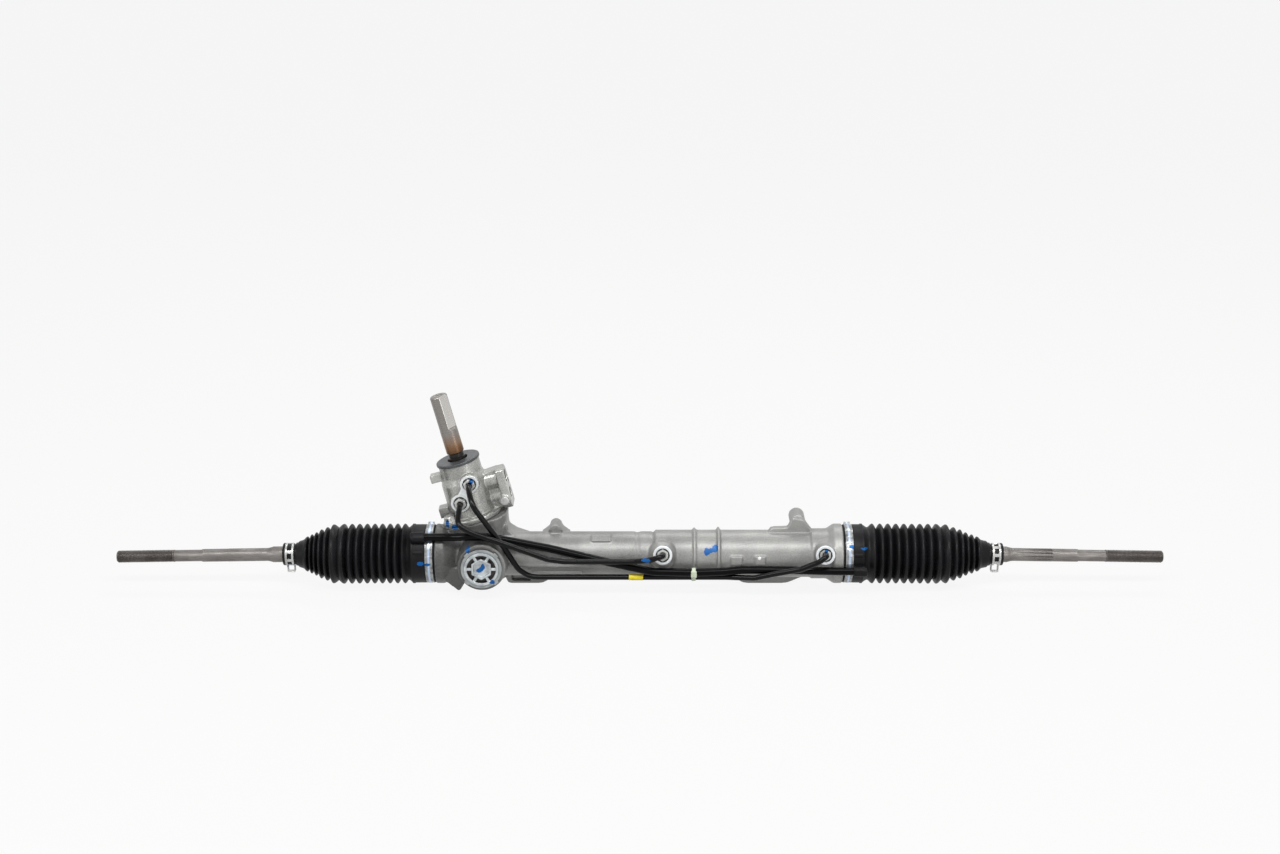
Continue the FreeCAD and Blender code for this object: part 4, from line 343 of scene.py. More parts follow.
def bootRubber(name="mouldedRubber", painted=None):
    # moulded black chloroprene rubber: soft sheen, fine talc haze, slightly uneven skin
    material, add, shader, where = startMaterial(name, {"IOR": 1.5, "Specular IOR Level": 0.16})
    haze = add("noise", where, 1000 / 26.0, 4.0)
    base = add("mix", add("range", haze, 0.40, 0.72), "#09090B", "#131316")
    coat(add, shader, where, base, add("range", haze, 0.3, 0.7, 0.34, 0.46), painted, 0.46)
    feed(shader, {"Normal": add("bump", add("noise", where, 1000 / 1.1, 2.0), 0.05e-3, 0.5)})
    return material


def pipeCoat(name="nylonCoatedPipe", painted=None, gloss=0.17):
    # black nylon on steel pipe, or with less gloss the rubber of a hose: a sheen with faint dust
    material, add, shader, where = startMaterial(name, {"IOR": 1.5, "Specular IOR Level": gloss})
    dust = add("noise", where, 1000 / 9.0, 4.0)
    base = add("mix", add("range", dust, 0.5, 0.8), "#030304", "#08080A")
    coat(add, shader, where, base, add("range", dust, 0.3, 0.7, 0.12, 0.22), painted, 0.16)
    return material


def bandSteel(middles):
    # pressed band of zinc-plated strip, with a pale bluish stripe of sealer run round its middle
    material, add, shader, where = startMaterial("bandSteel", {"Metallic": 0.6})
    clouds = add("noise", where, 1000 / 5.0, 4.0)
    base = add("mix", add("range", clouds, 0.35, 0.65), "#6E7072", "#A9ABAB")
    apart = add("split", where)
    stripe = None
    for middle in middles:
        shift = add("math", apart, placed((middle, 0, 0))[0], operation="SUBTRACT")
        off = add("math", clouds, 0.0012, add("math", shift, operation="ABSOLUTE"), operation="MULTIPLY_ADD")
        share = add("range", off, 0.0014, 0.0019, 0.85, 0.0)
        stripe = share if stripe is None else add("math", stripe, share, operation="MAXIMUM")
    coat(add, shader, where, add("mix", stripe, base, "#B9CBE6"), None, "bands", 0.33)
    feed(shader, {"Normal": add("bump", clouds, 0.05e-3, 0.4)})
    return material


def plainPlastic(name, dark, pale, roughness, size=6.0):
    # moulded nylon with a slightly uneven tone
    material, add, shader, where = startMaterial(name, {"IOR": 1.5, "Roughness": roughness})
    colour = add("mix", add("range", add("noise", where, 1000 / size), 0.35, 0.65), dark, pale)
    feed(shader, {"Base Color": colour, "Normal": add("bump", add("noise", where, 1000 / 0.9), 0.04e-3, 0.4)})
    return material


finishes = {
    "rackCasting": castAluminium("castAluminium", "#727271", "#8C8C8A", 0.3, 0.40, paintedShadeAndLight["ends"]),
    "valveCasting": castAluminium("brightCastAluminium", "#8E8E8B", "#B2B2AE", 0.55, 0.25),
    # pale casting for the strip: its paleness is painted light
    "paintedLightCasting": castAluminium("paintedLightCastAluminium", "#A3A3A1", "#C2C2BF", 0.3, 0.36),
    "milled": machinedAluminium(),
    "zinc": zincSteel("zincPlatedSpring", "spring"),
    "plugZinc": zincSteel("zincPlatedPlug", "plug", "#A2A8AA", "#C6CBCD", True),
    "boltZinc": zincSteel("zincPlatedBolt", "bolts"),
    "ground": groundSteel(),
    "shaft": shaftSteel(),
    "rod": rodSteel("phosphatedRodSteel", "#6C6865", "#827E7B"),
    "thread": rodSteel("rolledThreadSteel", "#57524F", "#6C6764"),
    "rubber": bootRubber(),
    "cuffRubber": bootRubber("cuffRubber", "cuffs"),
    "pipe": pipeCoat(),
    "shortPipe": pipeCoat("shortPipeCoat", "shortPipe"),
    "hose": pipeCoat("blackHose", None, 0.09),
    "band": bandSteel([-237.5, 235.5]),
    "cover": plainPlastic("greyNylonCover", "#34373A", "#46494B", 0.38),
    "race": plainPlastic("acetalRace", "#C9C5B9", "#D8D5CB", 0.4),
    "tie": plainPlastic("paleNylonTie", "#B5C0A8", "#CAD3BF", 0.4),
    "tape": plainPlastic("yellowSleeve", "#D2BE10", "#E4D324", 0.45),
    "ringPlastic": plainPlastic("filledRing", "#3C3835", "#4A4541", 0.45),
    "seal": bootRubber("sealRubber"),
}
print("finishes made,", len(finishes))


# Surfaces from grids of points

def surface(points, wrapRows=False):
    # a grid of points, closed round its columns, as vertices and faces; open ends get a middle point
    # and a fan
    rows, columns = points.shape[:2]
    i, j = np.meshgrid(np.arange(rows if wrapRows else rows - 1), np.arange(columns), indexing="ij")
    nextI, nextJ = (i + 1) % rows, (j + 1) % columns
    corners = [i * columns + j, i * columns + nextJ, nextI * columns + nextJ, nextI * columns + j]
    faces = [list(f) for f in np.stack([c.ravel() for c in corners], axis=1)]
    vertices = points.reshape(-1, 3)
    if not wrapRows:
        first, last = len(vertices), len(vertices) + 1
        vertices = np.concatenate([vertices, np.stack([points[0].mean(axis=0), points[-1].mean(axis=0)])])
        j = np.arange(columns)
        nextJ = (j + 1) % columns
        tail = (rows - 1) * columns
        faces += [list(f) for f in np.stack([nextJ, j, np.full(columns, first)], axis=1)]
        faces += [list(f) for f in np.stack([tail + j, tail + nextJ, np.full(columns, last)], axis=1)]
    return vertices, faces


def makePiece(name, parts, finish, body=None, replaced=(), sharp=35.0):
    # joins surfaces given in bar millimetres into one object, faces outwards, and hangs it on its body
    vertices, faces, count = [], [], 0
    for points, cells in parts:
        vertices.append(placed(points))
        faces += [[int(c) + count for c in cell] for cell in cells]
        count += len(points)
    mesh = bpy.data.meshes.new(name)
    mesh.from_pydata(np.concatenate(vertices), [], faces)
    tidy = bmesh.new()
    tidy.from_mesh(mesh)
    bmesh.ops.remove_doubles(tidy, verts=tidy.verts, dist=1e-6)
    bmesh.ops.recalc_face_normals(tidy, faces=tidy.faces)
    tidy.to_mesh(mesh)
    tidy.free()
    return finishPiece(name, mesh, finish, body, replaced, sharp)


def finishPiece(name, mesh, finish, body, replaced, sharp):
    mesh.shade_smooth()
    if sharp:
        mesh.set_sharp_from_angle(angle=math.radians(sharp))
    mesh.materials.clear()
    mesh.materials.append(finishes[finish])
    piece = bpy.data.objects.new(name, mesh)
    bpy.context.scene.collection.objects.link(piece)
    if body:
        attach(piece, body)
    if replaced:
        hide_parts(*replaced)
    return piece


def circleOfTurns(segments):
    return np.arange(segments) * (2 * math.pi / segments)


def turnedPoints(seat, along, radii, turns):
    # seat is (origin, axis, side), and point = origin + along * axis + radius * spin, where
    # spin = cos turn * side + sin turn * (axis x side)
    origin, axis, side = [np.asarray(part, float) for part in seat]
    along, radii = np.broadcast_arrays(along, radii)
    spin = np.cos(turns)[None, :, None] * side + np.sin(turns)[None, :, None] * np.cross(axis, side)
    return origin + along[..., None] * axis + radii[..., None] * spin


def turned(seat, along, radii, segments, wrapRows=False):
    # a whole turn of rows at the given distances along the axis, with one radius per row or per point
    return surface(turnedPoints(seat, along, radii, circleOfTurns(segments)), wrapRows)


def turnedBody(seat, corners, segments=64, wrapRows=False):
    # a profile of (distance, radius) corners turned about an axis, with each corner eased by a short curve
    profile = easedProfile(corners, wrapRows)
    return turned(seat, profile[:, :1], profile[:, 1:], segments, wrapRows)


def easedProfile(corners, closed, steps=4):
    # corners (distance, radius, rounding): each rounding is a quadratic curve between the two cut-back points
    points = np.array([c[:2] for c in corners], float)
    rounding = np.array([c[2] if len(c) > 2 else 0.0 for c in corners])
    back, ahead = np.roll(points, 1, axis=0) - points, np.roll(points, -1, axis=0) - points
    backLength = np.maximum(np.linalg.norm(back, axis=1), 1e-9)
    aheadLength = np.maximum(np.linalg.norm(ahead, axis=1), 1e-9)
    cut = np.minimum(rounding, 0.45 * np.minimum(backLength, aheadLength))
    if not closed:
        cut[0] = cut[-1] = 0.0
    start = points + back * (cut / backLength)[:, None]
    end = points + ahead * (cut / aheadLength)[:, None]
    t = np.linspace(0.0, 1.0, steps)[None, :, None]
    curve = (1 - t) ** 2 * start[:, None] + 2 * t * (1 - t) * points[:, None] + t ** 2 * end[:, None]
    keep = [curve[i] if cut[i] > 0 else points[i:i + 1] for i in range(len(points))]
    return np.concatenate(keep)


def routePoints(corners, bend, steps=10):
    # straight runs joined by arcs that touch both runs, sampled along the whole route
    corners = np.asarray(corners, float)
    line = [corners[:1]]
    for before, corner, after in zip(corners[:-2], corners[1:-1], corners[2:]):
        back, ahead = before - corner, after - corner
        room = 0.45 * min(np.linalg.norm(back), np.linalg.norm(ahead))
        back, ahead = back / np.linalg.norm(back), ahead / np.linalg.norm(ahead)
        half = math.acos(np.clip(back @ ahead, -1, 1)) / 2
        radius = min(bend, room * math.tan(half))
        middle = (back + ahead) / np.linalg.norm(back + ahead)
        centre = corner + middle * radius / math.sin(half)
        sweep = np.linspace(-(math.pi / 2 - half), math.pi / 2 - half, steps)[:, None]
        sideways = (ahead - back) / np.linalg.norm(ahead - back)
        line.append(centre - radius * np.cos(sweep) * middle + radius * np.sin(sweep) * sideways)
    line.append(corners[-1:])
    return np.concatenate(line)


def tubeAlong(line, radius, segments=24, reference=(0.1, 0.3, 0.95)):
    # circles across the line's direction, turned to keep one side towards the reference
    direction = np.gradient(line, axis=0)
    direction /= np.linalg.norm(direction, axis=1)[:, None]
    side = np.cross(direction, np.asarray(reference, float))
    side /= np.linalg.norm(side, axis=1)[:, None]
    other = np.cross(direction, side)
    turns = circleOfTurns(segments)[None, :, None]
    radius = np.broadcast_to(np.asarray(radius, float), (len(line),))[:, None, None]
    points = line[:, None] + radius * (np.cos(turns) * side[:, None] + np.sin(turns) * other[:, None])
    return surface(points)


def softenedCopy(name, node, voxel, finish, body, smoothing, keep=None):
    # a merged copy of a solid, cut to the kept block, rebuilt on even voxels and relaxed, so that its
    # edges melt
    mesh = nodes[node].data.copy()
    tidy = bmesh.new()
    tidy.from_mesh(mesh)
    bmesh.ops.remove_doubles(tidy, verts=tidy.verts, dist=1e-6)
    tidy.to_mesh(mesh)
    tidy.free()
    mould = bpy.data.objects.new(name + "Mould", mesh)
    bpy.context.scene.collection.objects.link(mould)
    cutter = None
    if keep:
        low, high = placed(keep[0]), placed(keep[1])
        corners = np.array([[x, y, z] for x in (0, 1) for y in (0, 1) for z in (0, 1)])
        block = bpy.data.meshes.new(name + "Block")
        sides = [(0, 1, 3, 2), (4, 6, 7, 5), (0, 4, 5, 1), (2, 3, 7, 6), (0, 2, 6, 4), (1, 5, 7, 3)]
        block.from_pydata(low + corners * (high - low), [], sides)
        cutter = bpy.data.objects.new(name + "Block", block)
        bpy.context.scene.collection.objects.link(cutter)
        cut = mould.modifiers.new("cut", "BOOLEAN")
        cut.operation, cut.object, cut.solver = "INTERSECT", cutter, "EXACT"
    remesh = mould.modifiers.new("voxels", "REMESH")
    remesh.mode, remesh.voxel_size = "VOXEL", voxel / 1000.0
    relax = mould.modifiers.new("relax", "SMOOTH")
    relax.factor, relax.iterations = 0.5, smoothing
    evaluated = mould.evaluated_get(bpy.context.evaluated_depsgraph_get())
    result = bpy.data.meshes.new_from_object(evaluated)
    result.name = name
    for spare in [mould, cutter] if cutter else [mould]:
        bpy.data.objects.remove(spare)
    return finishPiece(name, result, finish, body, (node,), None)


# Castings

# the long casting comes in two overlapping halves, which meet in the groove beside the middle port
casting = {
    "seam": -2.7, "overlap": 1.5, "reach": 300.0,
    "front": -120.0, "back": 120.0, "below": -120.0, "above": 200.0,
}
for name, voxel, start, end in [
        ("rackTubeCasting", 1.16, -casting["reach"], casting["seam"] + casting["overlap"]),
        ("cylinderCasting", 1.12, casting["seam"] - casting["overlap"], casting["reach"])]:
    softenedCopy(name, "rack_housing", voxel, "rackCasting", "housing", 3,
                 ((start, casting["front"], casting["below"]), (end, casting["back"], casting["above"])))
softenedCopy("valveCasting", "valve_housing", 0.68, "valveCasting", "housing", 3)
print("castings softened")

for name, node, voxel, finish, slot in [
        ("adjusterPlug", "adjuster_plug", 0.34, "plugZinc", "zinc_steel"),
        ("plugLockRing", "plug_lock_ring", 0.36, "plugZinc", "zinc_steel"),
        ("pinionEndCap", "pinion_end_cap", 0.4, "zinc", "zinc_steel"),
        ("cableTie", "cable_tie", 0.3, "tie", "tie_plastic"),
        ("passagePlug", "passage_plug", 0.25, "boltZinc", "zinc_steel"),
        ("dustCover", "dust_cover", 0.36, "cover", "cover_plastic")]:
    softenedCopy(name, node, voxel, finish, "housing", 2)
print("small pieces softened")


# Boots

boot = {
    "foldRadius": 34.0, "rootRadius": 27.75, "wall": 1.6, "cuffRadius": 33.2, "edge": 0.6, "bandStart": 2.0,
    "bandWidth": 9.0, "bandDepth": 1.2, "smallCuffRadius": 11.4, "smallCuffLength": 16.0, "equalFolds": 9,
    "smallRadii": [33.5, 30.4, 27.9, 24.7, 22.3, 20.0], "smallDepth": 3.7, "segments": 144, "foldSteps": 12,
    "spigotEnd": 18.0, "spigotRadius": 30.8, "rodRadius": 9.3, "rodSeat": 64.0, "spigot": 229.0,
    "neckLength": 24.0,
}
bootSides = {
    "left": {"side": -1, "flange": 231.0, "cuff": 27.3, "firstPeak": 35.7, "pitch": 8.66, "smallCuff": 158.2,
             "smallPitches": [12.2, 7.1, 6.9, 5.7, 5.2, 4.9], "breather": math.radians(48.5),
             "bar": (13.2, 23.4, 0.37)},
    "right": {"side": 1, "flange": 229.0, "cuff": 23.6, "firstPeak": 34.5, "pitch": 9.13, "smallCuff": 167.0,
              "smallPitches": [11.0, 8.9, 7.4, 6.5, 6.9, 5.9], "breather": math.radians(-10.6),
              "bar": (12.4, 20.6, 0.29)},
}
ballX = 331.0
droop = math.radians(0.9)
# the boots lean a little, because their small ends sit on the drooping rods
bootTilt = math.atan(boot["rodSeat"] * math.tan(droop) / (ballX + boot["rodSeat"] - boot["spigot"]))
towardsFront = np.array([0.0, -1.0, 0.0])


def leaningSeat(side, distance, tilt):
    # origin, axis and front side of what points away from the middle and down by a tilt
    axis = np.array([side * math.cos(tilt), 0.0, -math.sin(tilt)])
    return np.array([side * distance, 0.0, 0.0]), axis, towardsFront


def bootFrame(sizes):
    return leaningSeat(sizes["side"], sizes["flange"], bootTilt)


def rodFrame(sizes):
    return leaningSeat(sizes["side"], ballX, droop)


def bellowsProfile(sizes):
    # folds: radius = root + (peak - root) * |cos|^1.2 of the way between peaks, so ridges round and
    # roots sharp
    equal = boot["equalFolds"]
    peaks = sizes["firstPeak"] + sizes["pitch"] * np.arange(equal)
    peaks = np.concatenate([peaks, peaks[-1] + np.cumsum(sizes["smallPitches"])])
    radii = np.concatenate([np.full(equal, boot["foldRadius"]), boot["smallRadii"]])
    smallRoots = np.array(boot["smallRadii"]) - boot["smallDepth"]
    roots = np.concatenate([np.full(equal - 1, boot["rootRadius"]), smallRoots])
    phase = np.arange(boot["foldSteps"]) / boot["foldSteps"]
    lift = np.abs(np.cos(math.pi * phase)) ** 1.2
    along = peaks[:-1, None] + np.diff(peaks)[:, None] * phase
    crest = np.where(phase >= 0.5, radii[1:, None], radii[:-1, None])
    fold = roots[:, None] + (crest - roots[:, None]) * lift
    return np.concatenate([along.ravel(), peaks[-1:]]), np.concatenate([fold.ravel(), radii[-1:]])


def bootProfile(sizes):
    # outer line of a whole boot, from the flange to the end of the small cuff
    low, high = boot["bandStart"], boot["bandStart"] + boot["bandWidth"]
    cuff, small = boot["cuffRadius"], boot["smallCuffRadius"]
    groove = cuff - boot["bandDepth"]
    rim = sizes["cuff"]
    gap = sizes["firstPeak"] - rim
    start = [(boot["edge"], cuff - 0.9), (boot["edge"] + 0.5, cuff - 0.3), (low - 0.3, cuff - 0.3),
             (low, groove), (high, groove), (high + 0.3, cuff - 0.2), (high + 1.2, cuff), (rim - 3.6, cuff),
             (rim - 2.8, cuff + 0.7), (rim - 0.8, cuff + 0.7), (rim, cuff - 0.4), (rim + gap * 0.36, 30.2),
             (rim + gap * 0.5, 29.8), (rim + gap * 0.64, 30.6), (rim + gap * 0.86, 33.2)]
    along, radius = bellowsProfile(sizes)
    last, end = along[-1], sizes["smallCuff"]
    tail = [(last + 1.4, 19.2), (last + 3.0, 17.4), (last + 4.6, 16.2), (end - 2.5, small + 3.6),
            (end - 0.6, small + 1.9), (end, small + 1.7), (end + 1.2, small + 1.7), (end + 2.0, small),
            (end + 12.6, small), (end + 13.2, small + 1.3), (end + 15.3, small + 1.3),
            (end + boot["smallCuffLength"], small + 0.7)]
    return np.concatenate([np.array(start), np.stack([along, radius], axis=1), np.array(tail)])


def bootInside(profile, sizes):
    # inner line: the outer one less the wall, never inside the spigot or the rod's seat
    inside = profile.copy()
    inside[:, 1] = profile[:, 1] - boot["wall"]
    inside[profile[:, 0] < boot["spigotEnd"], 1] = boot["spigotRadius"]
    inside[profile[:, 0] > sizes["smallCuff"] - 1.0, 1] = boot["rodRadius"]
    return inside


def bootPart(profile, inside, low, high):
    # the slice of the shell between two distances, as one closed loop of outer and inner line
    wanted = (profile[:, 0] >= low - 1e-6) & (profile[:, 0] <= high + 1e-6)
    return np.concatenate([profile[wanted], inside[wanted][::-1]])


def ridgeOnCuff(sizes, path, halfWidth, height, radius):
    # a raised rib laid on the cuff: path of (distance, turn) pairs, section a rounded bump
    origin, axis, front = bootFrame(sizes)
    path = np.asarray(path, float)
    along, turn = path[:, 0], path[:, 1]
    flat = np.stack([along, turn * radius], axis=1)
    direction = np.gradient(flat, axis=0)
    direction /= np.linalg.norm(direction, axis=1)[:, None]
    across = np.stack([-direction[:, 1], direction[:, 0]], axis=1)
    section = np.array([(-1.0, -0.8), (-1.0, 0.55), (-0.7, 1.0), (0.7, 1.0), (1.0, 0.55), (1.0, -0.8)])
    spots = flat[:, None] + across[:, None] * section[None, :, :1] * halfWidth
    lifts = radius + section[None, :, 1] * height * np.ones((len(path), 1))
    other = np.cross(axis, front)
    turn = spots[..., 1:] / radius
    spin = np.cos(turn) * front + np.sin(turn) * other
    return surface(origin + spots[..., :1] * axis + lifts[..., None] * spin)


# the breather's hood: its middle's distance from the boot's axis, half sizes, how round its corners are, and
# where its sections lie along the boot with their scale
hood = {
    "out": 37.4, "halfAcross": 5.7, "halfUp": 6.9, "power": 0.62,
    "place": [10.6, 11.0, 12.2, 17.0, 22.0, 25.2, 26.8, 27.0],
    "scale": [0.86, 0.97, 1.0, 1.0, 1.0, 0.93, 0.72, 0.4],
}


def turnedSide(seat, turn):
    # directions away from the axis and across it, at a turn from the front upwards
    axis, front = seat[1:]
    other = np.cross(axis, front)
    turn = turn * (1 if other[2] > 0 else -1)
    outward = math.cos(turn) * front + math.sin(turn) * other
    return outward, np.cross(axis, outward)


def breatherHood(sizes):
    # section: each half size times |cos| or |sin| of the turn to a power, which rounds a square's corners
    seat = bootFrame(sizes)
    origin, axis = seat[:2]
    outward, tangent = turnedSide(seat, sizes["breather"])
    place, scale = np.array(hood["place"]), np.array(hood["scale"])[:, None, None]
    cosine, sine = np.cos(circleOfTurns(40)), np.sin(circleOfTurns(40))
    across = np.sign(cosine) * np.abs(cosine) ** hood["power"] * hood["halfAcross"]
    upward = np.sign(sine) * np.abs(sine) ** hood["power"] * hood["halfUp"]
    centre = origin + place[:, None] * axis + hood["out"] * outward
    section = across[None, :, None] * tangent + upward[None, :, None] * outward
    return surface(centre[:, None] + scale * section)


def makeBoot(name):
    sizes = bootSides[name]
    seat = bootFrame(sizes)
    profile = bootProfile(sizes)
    inside = bootInside(profile, sizes)
    ballAt = ballX - sizes["flange"]
    first, second = [profile[np.argmin(np.abs(profile[:, 0] - at)), 0]
                     for at in (ballAt, ballAt + boot["neckLength"])]
    # the clamped end is a piece of its own on the housing; the rest of the cuff goes with the folds
    clamped = boot["bandStart"] + boot["bandWidth"] + 1.2
    end = sizes["smallCuff"] + boot["smallCuffLength"]
    start, stop, turn = sizes["bar"]
    bar = [(x, turn * -sizes["side"]) for x in (start, stop)]
    pieces = {}
    for part, low, high, finish, body in [
            ("Cuff", boot["edge"], clamped, "cuffRubber", "housing"),
            ("Bellows", clamped, first, "cuffRubber", None),
            ("Neck", first, second, "rubber", None),
            ("Tip", second, end, "rubber", None)]:
        loop = bootPart(profile, inside, low, high)
        parts = [turned(seat, loop[:, :1], loop[:, 1:], boot["segments"], True)]
        if part == "Bellows":
            # the breather's hood and the moulded bar beside it
            parts += [breatherHood(sizes), ridgeOnCuff(sizes, bar, 2.1, 1.0, boot["cuffRadius"] - 0.1)]
        pieces[part] = makePiece(name + "Boot" + part, parts, finish, body, (name + "_boot",),
                                 50.0)
    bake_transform(pieces["Bellows"])
    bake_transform(pieces["Neck"])
    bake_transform(pieces["Tip"])


for side in bootSides:
    makeBoot(side)
print("boots made")


# Bands and clips

# the strip's section as shares of its width, the lift of its lips, and the share of the pressed blocks
band = {
    "thickness": 0.9, "crimps": 26, "segments": 360, "margin": 0.15, "gap": 0.06, "press": 0.30,
    "across": [0.0, 0.03, 0.12, 0.16, 0.30, 0.34, 0.66, 0.70, 0.84, 0.88, 0.97, 1.0],
    "lips": [0.0, 0.35, 0.35, 0.0, 0.0, 0.12, 0.12, 0.0, 0.0, 0.35, 0.35, 0.0],
    "blocks": [0, 0, 0, 0.2, 1, 1, 1, 1, 0.2, 0, 0, 0.0],
}
ear = {"turn": math.radians(118.0), "width": 9.0, "pinch": 0.55, "height": 3.6, "thickness": 1.0, "sunk": 0.3}


def makeBand(name):
    # strip round the cuff: radius rises on each pressed block, and two lips stand at its edges
    sizes = bootSides[name]
    low = boot["bandStart"] + band["margin"]
    high = boot["bandStart"] + boot["bandWidth"] - band["margin"]
    across, lips, blocks = [np.array(band[key])[:, None] for key in ("across", "lips", "blocks")]
    turns = circleOfTurns(band["segments"])
    wave = np.clip(3.2 * np.sin(turns * band["crimps"] / 2) + 0.9, -0.4, 1.0) * band["press"]
    base = boot["cuffRadius"] - boot["bandDepth"] + band["gap"] + band["thickness"]
    along = np.concatenate([low + (high - low) * across, [[high], [low]]])
    radii = np.concatenate([base + lips + blocks * wave, np.full((2, len(turns)), base - band["thickness"])])
    strip = turned(bootFrame(sizes), along, radii, band["segments"], True)
    parts = [strip, bandEar(sizes, base, low, high)]
    makePiece(name + "BootBand", parts, "band", "housing", (name + "_boot_band",), 30.0)


def bandEar(sizes, base, low, high):
    # pinched ear: a closed omega-shaped strip section carried across the band, behind and above
    seat = bootFrame(sizes)
    origin, axis = seat[:2]
    outward, tangent = turnedSide(seat, ear["turn"])
    t = np.linspace(0.0, 1.0, 25)
    swell = np.sin(math.pi * t)
    across = (t - 0.5) * ear["width"] * (1 - ear["pinch"] * swell)
    lift = base - ear["sunk"] + ear["height"] * swell ** 0.8
    inner = np.stack([across * 0.62, np.maximum(lift - ear["thickness"], base - 0.5)], axis=1)
    loop = np.concatenate([np.stack([across, lift], axis=1), inner[::-1]])
    place = np.array([low + 0.8, low + 1.0, high - 1.0, high - 0.8])[:, None, None]
    shrink = np.array([0.9, 1.0, 1.0, 0.9])[:, None, None]
    return surface(origin + place * axis + loop[None, :, :1] * shrink * tangent + loop[None, :, 1:] * outward)


clip = {
    "start": 3.4, "inner": 11.55, "thick": 1.3, "wide": 9.6, "hoop": 2.3,
    "crossBars": (0.55, -0.25, -1.0, 1.9, 2.9, -2.4), "halfBar": 0.14, "barFromEdge": 1.5,
    "tabFromEdge": 0.9, "tabReach": (0.4, 9.0), "tabs": (-2.3, 2.3), "wire": 0.62, "wireBend": 0.8,
}


def makeClip(name):
    # spring clip on the small cuff: two hoops, cross bars and an open square finger tab below
    sizes = bootSides[name]
    seat = rodFrame(sizes)
    origin, axis, front = seat
    other = np.cross(axis, front)
    start = sizes["flange"] + sizes["smallCuff"] + clip["start"] - ballX
    end = start + clip["wide"]
    inner, outer, hoop = clip["inner"], clip["inner"] + clip["thick"], clip["hoop"]
    parts = []
    for low in (start, end - hoop):
        corners = [(low, inner), (low, outer, 0.3), (low + hoop, outer, 0.3), (low + hoop, inner)]
        parts.append(turnedBody(seat, corners, 96, True))
    place = np.array([start + clip["barFromEdge"], end - clip["barFromEdge"]])[:, None]
    for turn in clip["crossBars"]:
        turns = np.linspace(turn - clip["halfBar"], turn + clip["halfBar"], 6)
        shell = [turnedPoints(seat, place, r, turns) for r in (inner + 0.1, outer - 0.1)]
        parts.append(surface(np.concatenate([shell[1], shell[0][:, ::-1]], axis=1)))
    down = -1.0 if other[2] > 0 else 1.0
    top, bottom = [inner + reach for reach in clip["tabReach"]]
    left, right = start + clip["tabFromEdge"], end - clip["tabFromEdge"]
    for y in clip["tabs"]:
        line = np.array([origin + along * axis + reach * down * other + y * towardsBack
                         for along, reach in ((left, top), (left, bottom), (right, bottom), (right, top))])
        parts.append(tubeAlong(routePoints(line, clip["wireBend"], 6), clip["wire"], 10, (0.05, 1.0, 0.02)))
    makePiece(name + "BootClip", parts, "zinc", name + "_tie_rod", (name + "_boot_clip",), 40.0)


for side in bootSides:
    makeBand(side)
    makeClip(side)
print("bands and clips made")


# Tie rods

rod = {
    "reach": 263.6, "threadLength": 65.0, "threadRadius": 7.0, "threadPitch": 1.5, "threadDepth": 0.85,
    "plainRadius": 6.6, "midRadius": 7.4, "backRadius": 7.6, "collarRadius": 9.0, "collar": (54.0, 87.0),
    "flats": (138.0, 165.0), "flatsAcross": 12.6, "ball": 13.0, "neck": 6.0, "segments": 56,
}


def rodShank():
    # (distance, radius) from the far side of the ball over the neck and the collar to the wrench flats
    ball, neck, back, thick, middle = [
        rod[key] for key in ("ball", "neck", "backRadius", "collarRadius", "midRadius")]
    low, high = rod["collar"]
    bend = np.linspace(math.pi, math.asin(neck / ball), 28)
    return np.array([(ball * math.cos(b), max(ball * math.sin(b), 1e-3)) for b in bend] + [
        (18.0, neck), (20.0, neck + 0.1), (33.0, 7.5), (35.0, back), (low - 6, back),
        (low, thick), (high - 1, thick), (high, thick - 0.4), (high + 4, middle + 0.2), (high + 6, middle),
        (rod["flats"][0] - 1, middle)])


def rodFlats(seat, threadStart):
    # wrench flats: radius is the smaller of the round bar and half the width over |sin turn|
    low, high = rod["flats"]
    middle, plain = rod["midRadius"], rod["plainRadius"]
    place = np.array([low - 1, low, low + 0.6, high - 0.6, high, high + 1.5, high + 3.0, threadStart - 0.6,
                      threadStart])
    share = np.array([0.0, 0.3, 1.0, 1.0, 0.3, 0.0, 0.0, 0.0, 0.0])[:, None]
    bar = np.array([middle] * 5 + [middle - 0.2, plain, plain, plain - 0.1])[:, None]
    sine = np.abs(np.sin(circleOfTurns(rod["segments"])))
    flatted = np.minimum(bar, 0.5 * rod["flatsAcross"] / np.maximum(sine, 0.05))
    return turned(seat, place[:, None], bar * (1 - share) + flatted * share, rod["segments"])


def rodThread(seat, threadStart):
    # radius = crest - depth * distance of the ridge phase from its crest, faded at both ends
    place = np.arange(0.0, rod["threadLength"] + 0.01, 0.25)[:, None]
    phase = (place / rod["threadPitch"] + circleOfTurns(rod["segments"]) / (2 * math.pi)) % 1.0
    valley = np.clip(1.25 * (1 - np.abs(2 * phase - 1)) - 0.12, 0, 1)
    left = rod["threadLength"] - place
    fade = np.clip(np.minimum(place / 1.5, left / 0.8), 0, 1)
    chamfer = np.minimum(0.0, left - 1.6) * 0.9
    radii = np.minimum(rod["threadRadius"] - rod["threadDepth"] * valley * fade, rod["threadRadius"] + chamfer)
    return turned(seat, threadStart + place, radii, rod["segments"])


def makeTieRod(name):
    seat = rodFrame(bootSides[name])
    shank = rodShank()
    threadStart = rod["reach"] - rod["threadLength"]
    body, replaced = name + "_tie_rod", (name + "_tie_rod",)
    smooth = turned(seat, shank[:, :1], shank[:, 1:], rod["segments"])
    flats, thread = rodFlats(seat, threadStart), rodThread(seat, threadStart)
    makePiece(name + "TieRod", [smooth, flats], "rod", body, replaced, 35.0)
    makePiece(name + "TieRodThread", [thread], "thread", body, replaced, 50.0)


for side in bootSides:
    makeTieRod(side)
print("tie rods made")


# Steering input

